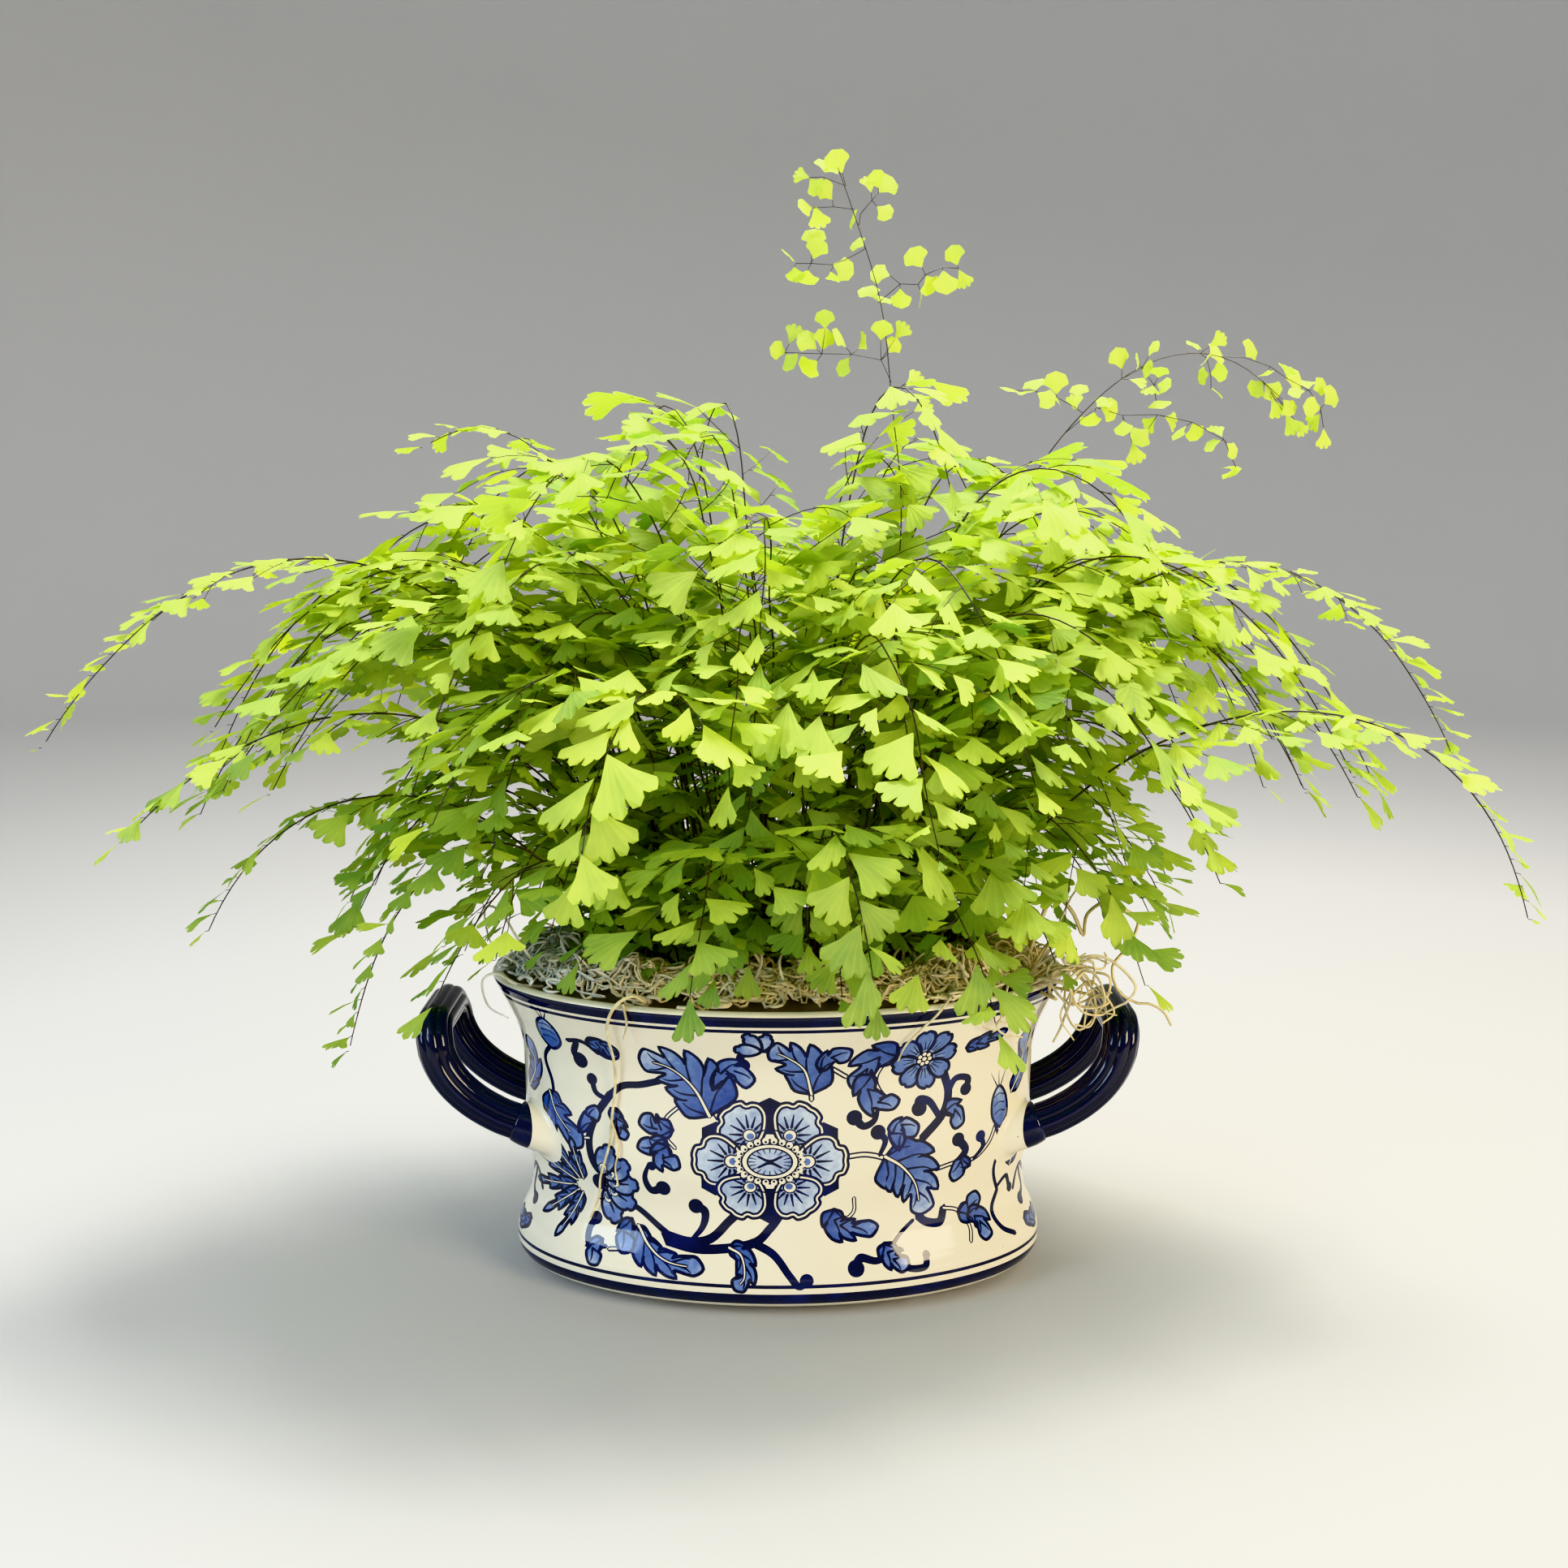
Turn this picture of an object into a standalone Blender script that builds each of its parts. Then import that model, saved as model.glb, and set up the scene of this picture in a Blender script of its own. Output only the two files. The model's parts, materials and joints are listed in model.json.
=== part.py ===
"""A maidenhair fern growing in an oval blue and white planter with two fluted handles.

Sizes are in millimetres and become metres when a mesh is made. +Z is up and -Y is the front.
The origin lies on the standing surface, under the middle of the planter.
"""
import math

import bpy
from mathutils import Vector
from mathutils.bvhtree import BVHTree

MM = 0.001
UP = Vector((0, 0, 1))
TOUCH = 0.3             # gap kept between pieces that touch

# Planter: one oval, moved in or out with height
HALF_LENGTH = 144.0
HALF_DEPTH = 80.0
WALL = 6.3
FLOOR = 7.0
PAD_HEIGHT = 5.0
PAD_RADIUS = 8.5
PAD_X, PAD_Y = 74.0, 45.0
PAD_SIDES = 10
OVAL_SIDES = 36
OUTSIDE = [(5, -5), (6.5, -1), (11, 4), (21, 6), (33, 3), (45, -2), (55, -3.5),
           (82, -0.6), (120, 0), (134, 1), (145, 4), (155, 8.5), (172, 16.6)]
LIP = [(174.4, 15.6), (175, 12.8), (174.2, 10.4)]
INSIDE_HEIGHTS = [168, 155, 134, 82, 55, 21]
FLOOR_INSET = 5.0       # the inside's rounded bottom corner
PAD_EDGE = 0.6          # chamfer at a pad's foot
GLAZE_ROUGHNESS = 0.15

# Handles: two legs and a grip bar, with flutes along them
LEG_Y = 30.0
LEG_RADIUS = 10.4
FLUTE_DEPTH = 1.1
FLUTES = 8
BOSS_RADIUS = 12.0
BOSS_SIDES = 12
BOSS_START = Vector((118, 0, 82.7))
BOSS_FACE = Vector((145.6, 0, 92.7))
LEG_LINE = [(155, 96.5), (167.5, 104), (178, 113.5), (185, 124), (189, 135.5)]
GRIP_X, GRIP_Z = 190.5, 146.5

# Soil and the mat of dried moss round the stems
SOIL_TOP = 150.0
CROWN_X, CROWN_Y = 112.0, 57.0      # the oval of bare soil that the stems grow from
MOSS_SIDES = 20
MOSS_WALL_GAP = 2.2
MOSS_TOP = 168.0
# Moss section: share of the way from the crown to the wall, and height
MOSS_SECTION = [(1, 160), (0.86, MOSS_TOP), (0.5, MOSS_TOP + 4), (0.14, MOSS_TOP), (0, 161)]

# Stems and leaflets
ROOT_DEPTH = 18.0
STEM_HALF = 0.9         # half the width of a stem at the soil
TIP_HALF = 0.55
BLADE_HALF = 0.35       # half the thickness at a leaflet's outer edge
HOLE_CLEAR = 0.35
EMERGE = 6.0            # a stem is straight up to this height above the soil
HOLE_OVERSHOOT = 4.0
NODE_LENGTH = 2.4       # length of rib that a pair of leaflets grows from
PINNA_SPLIT = 0.40      # where a side rib's leaflets grow, as a share of its length
PINNA_TAPER = 0.60      # side ribs grow shorter towards the tip
PINNA_END_SIZE = 1.08   # size of the leaflet at a side rib's end
TIP_SIZE = 0.75         # size of the leaflet at a frond's end
LEAF_TAPER = 0.28       # leaflets grow smaller towards the tip
STEM_BREAK = 0.55       # share of the bare stem with one more joint
FIRST_SPOT = 0.05       # first pair of ribs, as a share of the leafy length
COUNT_LAG = 0.35        # keeps the last pair clear of the leaflet at the tip
SPOT_SHIFT, SPOT_SPREAD = 0.42, 0.15
ROLL_START = 0.4        # share of the bare stem where a frond starts to roll
DROOP = 0.0038          # how far a blade's edge hangs, per millimetre squared
CLEARANCE = 0.45        # kept between the leaflets of two fronds
OWN_CLEARANCE = 0.12    # kept between two leaflets of one frond
BASE_SHARE = 0.25       # the part of a leaflet next to its rib, which may touch its neighbours
PINNA_TURN = math.radians(62)       # between the stem and a side rib
SIDE_TURN = math.radians(68)        # between a side rib and its leaflets
LEAF_TURN = math.radians(58)        # between the stem and a leaflet of its own
PAIR_SPACING = 74.0
LEAFLET_EDGE = [(0.56, -0.37), (0.99, -0.23), (0.82, 0.10), (0.78, 0.48)]
BENDS = [(0, 1), (5, 1), (-5, 1), (10, 1), (-10, 1), (15, 0.95), (-15, 0.95), (20, 0.85),
         (-20, 0.85), (0, 0.7), (8, 0.7), (-8, 0.7), (16, 0.7), (-16, 0.7), (0, 0.5), (10, 0.5),
         (-10, 0.5)]

# Rings of fronds: count, root oval, tip oval, tip height, crest height, first angle,
# blade half-width, leaflet size, roll
RINGS = [
    (10, (94, 44), (236, 176), 196, 262, 8, 74, 38, 15),
    (10, (74, 34), (288, 200), 288, 362, 24, 84, 40, 16),
    (8, (50, 24), (238, 152), 372, 438, 5, 84, 40, 16),
    (4, (26, 14), (140, 88), 424, 474, 50, 74, 38, 13),
    (3, (10, 6), (70, 56), 446, 468, 8, 66, 36, 10),
]
WAVE = 11.0             # every second frond of a ring arches this much higher, the rest lower
LEAN_BACK = 6.0         # the rings' tips lie this far back of the middle
RING_BARE = 0.42        # bare share of a ring frond's stem
RISE_OUT, OVER_OUT = 0.10, 0.66     # how far out a ring frond's middle control points lie
CREST_SHARE = 0.6       # where a ring frond's curve is at its highest
# Fixed draws: turn in shares of a ring step, reach, tip height, crest height, colour
TURN_DRAW, REACH_DRAW, TIP_DRAW, CREST_DRAW, TONE_DRAW = 0.22, 0.07, 14.0, 6.0, 0.12

# Fronds that stand out: name, control points, facing angle, bare share, half-width, leaflet,
# and how many pairs of side ribs
SOLO = [
    ("tall", [(33, 3, 132), (74, 10, 300), (84, 14, 500), (30, 12, 612)],
     -90, 0.6, 80, 19, 3),
    ("upper_right", [(58, 12, 132), (72, 40, 400), (205, 62, 600), (296, 66, 478)],
     10, 0.5, 60, 25, 2),
    ("upper_left", [(-30, 20, 132), (-56, 44, 350), (-118, 72, 520), (-206, 76, 462)],
     160, 0.5, 54, 26, 1),
    ("left_long", [(-60, -2, 132), (-104, -10, 416), (-274, -22, 484), (-396, -26, 302)],
     183, 0.42, 54, 28, 1),
    ("left_mid", [(-62, -22, 132), (-84, -44, 350), (-236, -84, 372), (-334, -84, 262)],
     193, 0.42, 54, 28, 1),
    ("left_low", [(-82, -12, 132), (-114, -22, 300), (-250, -54, 322), (-300, -62, 210)],
     187, 0.42, 48, 27, 1),
    ("left_hanging", [(-88, -24, 132), (-104, -40, 300), (-194, -74, 290), (-224, -80, 150)],
     202, 0.5, 30, 24, 1),
    ("right_long", [(64, 4, 132), (104, 2, 420), (290, 10, 480), (380, 20, 292)],
     3, 0.42, 56, 28, 1),
    ("right_low", [(80, -20, 132), (124, -40, 340), (340, -80, 400), (386, -84, 222)],
     -7, 0.42, 48, 28, 1),
    ("front_rim", [(16, -38, 132), (16, -84, 300), (26, -176, 330), (46, -178, 206)],
     -84, 0.42, 60, 38, 1),
    ("front_left", [(-25, -30, 132), (-30, -48, 360), (-66, -176, 408), (-90, -193, 268)],
     -105, 0.42, 66, 42, 1),
]

CREAM = (0.86, 0.83, 0.76)
COBALT = (0.012, 0.016, 0.075)
SOIL_BROWN = (0.045, 0.028, 0.018)
MOSS_TAN = (0.46, 0.35, 0.19)
PAD_WHITE = (0.78, 0.76, 0.72)
LEAF_GREEN = (0.30, 0.52, 0.04)


def finish(name, colour, roughness):
    material = bpy.data.materials.new(name)
    material.use_nodes = True
    surface = material.node_tree.nodes["Principled BSDF"]
    surface.inputs["Base Color"].default_value = (*colour, 1)
    surface.inputs["Roughness"].default_value = roughness
    surface.inputs["Metallic"].default_value = 0
    return material


def solid(name, points, faces, colour, roughness, smooth_angle=0.0):
    """An object from points in millimetres and faces that look outwards."""
    mesh = bpy.data.meshes.new(name)
    mesh.from_pydata([Vector(p) * MM for p in points], [], faces)
    mesh.update()
    if smooth_angle:
        mesh.shade_smooth()
        mesh.set_sharp_from_angle(angle=math.radians(smooth_angle))
    piece = bpy.data.objects.new(name, mesh)
    piece.data.materials.append(finish(name + "_finish", colour, roughness))
    bpy.context.collection.objects.link(piece)
    return piece


def combine(piece, other, operation):
    """Joins or cuts piece with other, applies it and removes other."""
    step = piece.modifiers.new("step", "BOOLEAN")
    step.operation = operation
    step.solver = "EXACT"
    step.object = other
    bpy.context.view_layer.update()
    result = bpy.data.meshes.new_from_object(
        piece.evaluated_get(bpy.context.evaluated_depsgraph_get()))
    piece.modifiers.remove(step)
    finish_kept = piece.data.materials[0]
    piece.data = result
    piece.data.materials.clear()
    piece.data.materials.append(finish_kept)
    bpy.data.objects.remove(other)


def flare(z):
    """How far the outside lies from the plan oval at height z."""
    line = OUTSIDE + LIP[:2]
    for (z0, out0), (z1, out1) in zip(line, line[1:]):
        if z <= z1:
            return out0 + (out1 - out0) * max(z - z0, 0) / (z1 - z0)
    return line[-1][1]


def oval(z, out, sides=OVAL_SIDES):
    turns = [2 * math.pi * i / sides for i in range(sides)]
    return [(math.cos(a) * (HALF_LENGTH + out), math.sin(a) * (HALF_DEPTH + out), z) for a in turns]


def turned(rows, closed=False):
    """Points and faces of rings joined in order, from the bottom of the outside upwards."""
    sides = len(rows[0])
    points = [p for row in rows for p in row]
    faces = []
    for i in range(len(rows) - (0 if closed else 1)):
        low, high = i * sides, (i + 1) % len(rows) * sides
        for j in range(sides):
            k = (j + 1) % sides
            faces.append((low + j, low + k, high + k, high + j))
    if not closed:
        faces.append(tuple(reversed(range(sides))))
        faces.append(tuple(range(len(points) - sides, len(points))))
    return points, faces


def build_boss(side, leg):
    """The swelling of the wall that a handle's leg grows from."""
    axis = (BOSS_FACE - BOSS_START).normalized()
    across = Vector((0, 1, 0))
    rise = axis.cross(across)
    rows = []
    for centre in (BOSS_START, BOSS_FACE):
        row = []
        for i in range(BOSS_SIDES):
            turn = 2 * math.pi * i / BOSS_SIDES
            p = centre + (across * math.cos(turn) + rise * math.sin(turn)) * BOSS_RADIUS
            row.append((side * p.x, p.y + leg * LEG_Y, p.z))
        rows.append(row if side > 0 else row[::-1])
    return solid("boss", *turned(rows), CREAM, GLAZE_ROUGHNESS)


def build_pot():
    inner = [(z, flare(z) - WALL) for z in INSIDE_HEIGHTS]
    floor_z = PAD_HEIGHT + FLOOR
    inner.append((floor_z, inner[-1][1] - FLOOR_INSET))
    rows = [oval(z, out) for z, out in OUTSIDE + LIP + inner]
    pot = solid("pot_body", *turned(rows), CREAM, GLAZE_ROUGHNESS)
    for side in (-1, 1):
        for leg in (-1, 1):
            boss = build_boss(side, leg)
            middle = [(z, out + 0.5 * WALL) for z, out in inner]
            core = solid("core", *turned([oval(z, out) for z, out in middle[::-1]]), CREAM,
                         GLAZE_ROUGHNESS)
            combine(boss, core, "DIFFERENCE")
            combine(pot, boss, "UNION")
    pot.data.shade_smooth()
    pot.data.set_sharp_from_angle(angle=math.radians(50))
    return pot


def build_handle(name, side):
    """A fluted bar swept up one leg, along the grip and down the other leg, with mitred elbows."""
    axis = (BOSS_FACE - BOSS_START).normalized()
    start = BOSS_FACE + axis * TOUCH
    leg = [start] + [Vector((x, 0, z)) for x, z in LEG_LINE] + [Vector((GRIP_X, 0, GRIP_Z))]
    lift = Vector((0, LEG_Y, 0))
    line = [p - lift for p in leg] + [p + lift for p in reversed(leg)]
    row = []
    rise = axis.cross(Vector((0, 1, 0)))
    for i in range(2 * FLUTES):
        turn = math.pi * i / FLUTES
        reach = LEG_RADIUS - (FLUTE_DEPTH if i % 2 else 0)
        row.append(line[0] + (Vector((0, 1, 0)) * math.cos(turn) + rise * math.sin(turn)) * reach)
    rows = [row]
    for before, here, after in zip(line, line[1:], line[2:] + [None]):
        ahead = (here - before).normalized()
        facing = -axis if after is None else (ahead + (after - here).normalized()).normalized()
        row = [p + ahead * ((here - p).dot(facing) / ahead.dot(facing)) for p in row]
        rows.append(row)
    if side < 0:
        rows = [r[::-1] for r in rows]
    rows = [[(side * p.x, p.y, p.z) for p in r] for r in rows]
    return solid(name, *turned(rows), COBALT, 0.12, smooth_angle=50)


def build_pad(name, x, y):
    rows = []
    for z, radius in ((0, PAD_RADIUS - PAD_EDGE), (PAD_EDGE, PAD_RADIUS),
                      (PAD_HEIGHT - TOUCH, PAD_RADIUS)):
        turns = [2 * math.pi * i / PAD_SIDES for i in range(PAD_SIDES)]
        rows.append([(x + radius * math.cos(a), y + radius * math.sin(a), z) for a in turns])
    return solid(name, *turned(rows), PAD_WHITE, 0.6, smooth_angle=40)


def build_soil(fronds):
    """The soil fills the planter, with a plain hole along the buried end of each stem."""
    inner = [(z, flare(z) - WALL - TOUCH) for z in INSIDE_HEIGHTS if z < SOIL_TOP]
    floor_z = PAD_HEIGHT + FLOOR
    inner.append((floor_z + TOUCH, inner[-1][1] - FLOOR_INSET))
    top = (SOIL_TOP, flare(SOIL_TOP) - WALL - TOUCH)
    soil = solid("soil", *turned([oval(z, out) for z, out in [top] + inner][::-1]), SOIL_BROWN, 0.9)
    reach = STEM_HALF + HOLE_CLEAR
    for frond in fronds:
        low, high = frond.spine[0], frond.spine[1]
        along = (high - low).normalized()
        side, face = frond.across_at(0)
        rows = []
        for centre in (low - along * TOUCH, low + along * (SOIL_TOP + HOLE_OVERSHOOT - low.z) / along.z):
            rows.append([centre + side * a * reach + face * b * reach
                         for a, b in ((-1, -1), (1, -1), (1, 1), (-1, 1))])
        hole = solid("stem_hole", *turned(rows), SOIL_BROWN, 0.9)
        combine(soil, hole, "DIFFERENCE")
    return soil


def build_moss():
    """A lumpy ring of moss between the stems and the wall."""
    low = SOIL_TOP + TOUCH
    rows = []
    for share, height in [(1, low)] + MOSS_SECTION + [(0, low)]:
        row = []
        for i in range(MOSS_SIDES):
            turn = 2 * math.pi * i / MOSS_SIDES
            wall = flare(height) - WALL - MOSS_WALL_GAP
            x = CROWN_X + (HALF_LENGTH + wall - CROWN_X) * share
            y = CROWN_Y + (HALF_DEPTH + wall - CROWN_Y) * share
            lump = 2.2 * math.sin(5 * turn + 3 * share) + 1.3 * math.cos(11 * turn) if height > low else 0
            row.append((x * math.cos(turn), y * math.sin(turn), height + lump))
        rows.append(row)
    return solid("moss_mat", *turned(rows, closed=True), MOSS_TAN, 0.95, smooth_angle=60)


def jitter(number, salt):
    """A fixed draw between -1 and 1 for one frond and one use."""
    wave = math.sin(number * 12.9898 + salt * 78.233) * 43758.5453
    return 2 * (wave - math.floor(wave)) - 1


def bezier_weights(share):
    back = 1 - share
    return back ** 3, 3 * back ** 2 * share, 3 * back * share ** 2, share ** 3


def bezier(points, share):
    return sum((p * w for p, w in zip(points, bezier_weights(share))), Vector((0, 0, 0)))


class Frond:
    """A stem that arches along a Bezier curve, and the curved sheet that its leaflets lie in."""

    STEPS = 48

    def __init__(self, name, points, facing, bare, half_width, leaflet, tiers=1, roll=0.0):
        self.name = name
        self.tiers = tiers
        self.points = [Vector(p) for p in points]
        self.flat_side = Vector((-math.sin(math.radians(facing)), math.cos(math.radians(facing)), 0))
        self.half_width = half_width
        self.leaflet = leaflet
        self.roll = math.radians(roll)
        self.spine = [bezier(self.points, i / self.STEPS) for i in range(self.STEPS + 1)]
        buried = self.spine[0]
        surfaced = next(p for p in self.spine if p.z > SOIL_TOP + EMERGE)
        self.spine = [buried, surfaced] + self.spine[self.spine.index(surfaced) + 1:]
        self.marks = [0.0]
        for a, b in zip(self.spine, self.spine[1:]):
            self.marks.append(self.marks[-1] + (b - a).length)
        self.length = self.marks[-1]
        self.bare = bare * self.length

    def segment(self, along):
        for i in range(len(self.marks) - 2):
            if along < self.marks[i + 1]:
                return i
        return len(self.marks) - 2

    def axis_at(self, along):
        """Position and direction of the stem."""
        i = self.segment(along)
        step = self.marks[i + 1] - self.marks[i]
        share = (along - self.marks[i]) / step
        here = (self.spine[i + 1] - self.spine[i]) / step
        if i == 0:
            return self.spine[0] + here * along, here
        last = min(i + 2, len(self.spine) - 1)
        before = (self.spine[i + 1] - self.spine[i - 1]).normalized()
        after = (self.spine[last] - self.spine[i]).normalized()
        direction = before.lerp(after, min(share, 1.0)).normalized()
        return self.spine[i].lerp(self.spine[i + 1], share), direction

    def across_at(self, along):
        """Directions across the sheet and out of its upper face."""
        direction = self.axis_at(along)[1]
        side = (self.flat_side - direction * self.flat_side.dot(direction)).normalized()
        face = direction.cross(side)
        share = min(max(along / self.bare - ROLL_START, 0) / (1 - ROLL_START), 1)
        turn = self.roll * share * share * (3 - 2 * share)
        return (side * math.cos(turn) + face * math.sin(turn),
                face * math.cos(turn) - side * math.sin(turn))

    def place(self, along, across, lift=0.0):
        """The point of the sheet at a distance along the stem, across it and above it."""
        side, face = self.across_at(along)
        centre = self.axis_at(along)[0]
        return centre + side * across + face * lift - UP * (DROOP * across * across), face


class Blade:
    """A frond laid out flat: points (along, across, half thickness, lift) and triangles."""

    def __init__(self, frond):
        self.frond = frond
        self.points = []
        self.triangles = []

    def add(self, along, across, half, lift=0.0):
        self.points.append((along, across, half, lift))
        return len(self.points) - 1

    def strip(self, pair, next_pair):
        """A length of rib between two (right, left) pairs of points."""
        (right, left), (next_right, next_left) = pair, next_pair
        self.triangles += [(right, next_right, next_left), (right, next_left, left)]

    def leaflet(self, base, turn, size, flip, lift):
        """A fan with a notched edge on the edge base, its midrib at turn from the frond's axis."""
        first, last = base
        middle = [(self.points[first][i] + self.points[last][i]) / 2 for i in (0, 1)]
        ahead = (math.cos(turn), math.sin(turn))
        shape = LEAFLET_EDGE
        if flip:
            shape = [(a, -b) for a, b in reversed(LEAFLET_EDGE)]
        outer = []
        for a, b in shape:
            along = middle[0] + size * (a * ahead[0] - b * ahead[1])
            across = middle[1] + size * (a * ahead[1] + b * ahead[0])
            outer.append(self.add(along, across, BLADE_HALF, lift * a * a))
        half = len(outer) // 2
        for a, b in zip(outer[:half], outer[1:half + 1]):
            self.triangles.append((last, a, b))
        self.triangles.append((last, outer[half], first))
        for a, b in zip(outer[half:], outer[half + 1:]):
            self.triangles.append((first, a, b))

    def outer_part(self):
        """A blade that holds one leaflet, without the part of it next to its rib."""
        part = Blade(self.frond)
        part.points = list(self.points)
        part.triangles = self.triangles
        for end, neighbour in ((0, -1), (1, 2)):
            part.points[end] = tuple(a + BASE_SHARE * (b - a)
                                     for a, b in zip(self.points[end], self.points[neighbour]))
        return part

    def body(self, extra=0.0):
        """Points and triangles of the closed solid, its two faces split alike."""
        upper, lower = [], []
        for along, across, half, lift in self.points:
            point, face = self.frond.place(along, across, lift)
            upper.append(point + face * (half + extra))
            lower.append(point - face * (half + extra))
        count = len(upper)
        faces = list(self.triangles)
        faces += [(c + count, b + count, a + count) for a, b, c in self.triangles]
        edges = {(t[i], t[(i + 1) % 3]) for t in self.triangles for i in range(3)}
        for a, b in sorted(edges):
            if (b, a) not in edges:
                faces += [(b, a, a + count), (b, a + count, b + count)]
        return upper + lower, faces


def lay_ribs(frond):
    """The frond's ribs, laid flat, and the sockets that its leaflets grow from."""
    blade = Blade(frond)
    sockets = []

    def pair(along):
        half = STEM_HALF + (TIP_HALF - STEM_HALF) * along / frond.length
        return blade.add(along, -half, half), blade.add(along, half, half)

    def side_sockets(low, high, turn_left, turn_right, size):
        sockets.append(((low[1], high[1]), turn_left, size, False))
        sockets.append(((high[0], low[0]), turn_right, size, True))

    def pinna(base, turn, length):
        """A side rib with two leaflets and one at its end."""
        first, last = base
        start = [(blade.points[first][i] + blade.points[last][i]) / 2 for i in (0, 1)]
        ahead = (math.cos(turn), math.sin(turn))
        pairs = [(last, first)]
        for reach in (PINNA_SPLIT * length, PINNA_SPLIT * length + NODE_LENGTH):
            ends = []
            for side in (-1, 1):
                along = start[0] + reach * ahead[0] - side * TIP_HALF * ahead[1]
                across = start[1] + reach * ahead[1] + side * TIP_HALF * ahead[0]
                ends.append(blade.add(along, across, TIP_HALF))
            pairs.append(tuple(ends))
            blade.strip(pairs[-2], pairs[-1])
        side_sockets(pairs[1], pairs[2], turn + SIDE_TURN, turn - SIDE_TURN, frond.leaflet)
        sockets.append(((pairs[2][1], pairs[2][0]), turn, PINNA_END_SIZE * frond.leaflet, turn < 0))

    blade_length = frond.length - frond.bare
    stem = [0.0, frond.marks[1], STEM_BREAK * frond.bare]
    start = frond.bare + FIRST_SPOT * blade_length
    end = frond.length - TIP_SIZE * frond.leaflet
    count = max(2, round((end - start) / PAIR_SPACING - COUNT_LAG), frond.tiers)
    spots = [start] + [start + (end - start) * (i + SPOT_SHIFT) / (count + SPOT_SPREAD)
                       for i in range(count)]
    previous = pair(stem[0])
    for along in stem[1:]:
        current = pair(along)
        blade.strip(previous, current)
        previous = current
    for number, spot in enumerate(spots):
        low, high = pair(spot), pair(spot + NODE_LENGTH)
        blade.strip(previous, low)
        blade.strip(low, high)
        if number < frond.tiers:
            length = frond.half_width * (1 - PINNA_TAPER * number / len(spots))
            pinna((low[1], high[1]), PINNA_TURN, length)
            pinna((high[0], low[0]), -PINNA_TURN, length)
        else:
            size = frond.leaflet * (1 - LEAF_TAPER * number / count)
            side_sockets(low, high, LEAF_TURN, -LEAF_TURN, size)
        previous = high
    last = pair(end)
    blade.strip(previous, last)
    sockets.append(((last[1], last[0]), 0.0, TIP_SIZE * frond.leaflet, False))
    return blade, sockets


def tree_of(bodies):
    points, faces = [], []
    for body_points, body_faces in bodies:
        faces += [tuple(i + len(points) for i in f) for f in body_faces]
        points += body_points
    return BVHTree.FromPolygons(points, faces)


def build_fronds(fronds, neighbours):
    """Grows every frond, each leaflet bent clear of all the others or left out."""
    ribs = [lay_ribs(frond) for frond in fronds]
    rib_bodies = [blade.body(CLEARANCE) for blade, _ in ribs]
    grown = []
    for number, (frond, (blade, sockets)) in enumerate(zip(fronds, ribs)):
        others = neighbours + [b for i, b in enumerate(rib_bodies) if i != number] + grown
        taken = tree_of(others)
        own = [blade.body()]
        for base, turn, size, flip in sockets:
            own_tree = tree_of(own)
            for lift, scale in BENDS:
                trial = Blade(frond)
                first, last = (trial.add(*blade.points[i]) for i in base)
                trial.leaflet((first, last), turn, size * scale, flip, lift)
                crosses_own = own_tree.overlap(tree_of([trial.outer_part().body(OWN_CLEARANCE)]))
                if not crosses_own and not taken.overlap(tree_of([trial.body(CLEARANCE)])):
                    blade.leaflet(base, turn, size * scale, flip, lift)
                    own.append(trial.body())
                    break
        points, faces = blade.body()
        grown.append((points, faces))
        tone = 1 + TONE_DRAW * jitter(number, 9)
        solid(frond.name, points, faces, tuple(c * tone for c in LEAF_GREEN), 0.5, smooth_angle=35)


def list_fronds():
    fronds = []
    number = 0
    root_weight, rise_weight, over_weight, tip_weight = bezier_weights(CREST_SHARE)
    for count, root_oval, tip_oval, tip_z, crest, first_turn, half_width, leaflet, roll in RINGS:
        for i in range(count):
            number += 1
            turn = math.radians(first_turn + 360 * (i + TURN_DRAW * jitter(number, 1)) / count)
            grow = 1 + REACH_DRAW * jitter(number, 2)
            root = Vector((root_oval[0] * math.cos(turn), root_oval[1] * math.sin(turn),
                           SOIL_TOP - ROOT_DEPTH))
            tip = Vector((tip_oval[0] * grow * math.cos(turn),
                          tip_oval[1] * grow * math.sin(turn) + LEAN_BACK,
                          tip_z + TIP_DRAW * jitter(number, 3)))
            top = crest + (WAVE if i % 2 else -WAVE) + CREST_DRAW * jitter(number, 4)
            pull = (top - root_weight * root.z - tip_weight * tip.z) / (rise_weight + over_weight)
            out = Vector((tip.x - root.x, tip.y - root.y, 0))
            rise = root + out * RISE_OUT
            rise.z = pull
            over = root + out * OVER_OUT
            over.z = pull
            facing = math.degrees(math.atan2(out.y, out.x))
            fronds.append(Frond(f"frond_{number:02d}", [root, rise, over, tip], facing, RING_BARE,
                                half_width, leaflet, 1, roll))
    for name, points, facing, bare, half_width, leaflet, tiers in SOLO:
        fronds.append(Frond("frond_" + name, points, facing, bare, half_width, leaflet, tiers))
    return fronds


def body_of(piece):
    """A finished piece's points in millimetres and its faces."""
    return [v.co / MM for v in piece.data.vertices], [tuple(p.vertices) for p in piece.data.polygons]


def build_planter():
    for old in list(bpy.data.objects):
        bpy.data.objects.remove(old)
    fronds = list_fronds()
    pot = build_pot()
    handles = [build_handle("handle_left", -1), build_handle("handle_right", 1)]
    for front, y in (("front", -PAD_Y), ("back", PAD_Y)):
        for side, x in (("left", -PAD_X), ("right", PAD_X)):
            build_pad(f"pad_{front}_{side}", x, y)
    build_soil(fronds)
    moss = build_moss()
    build_fronds(fronds, [body_of(piece) for piece in [pot, moss] + handles])


build_planter()
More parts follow.
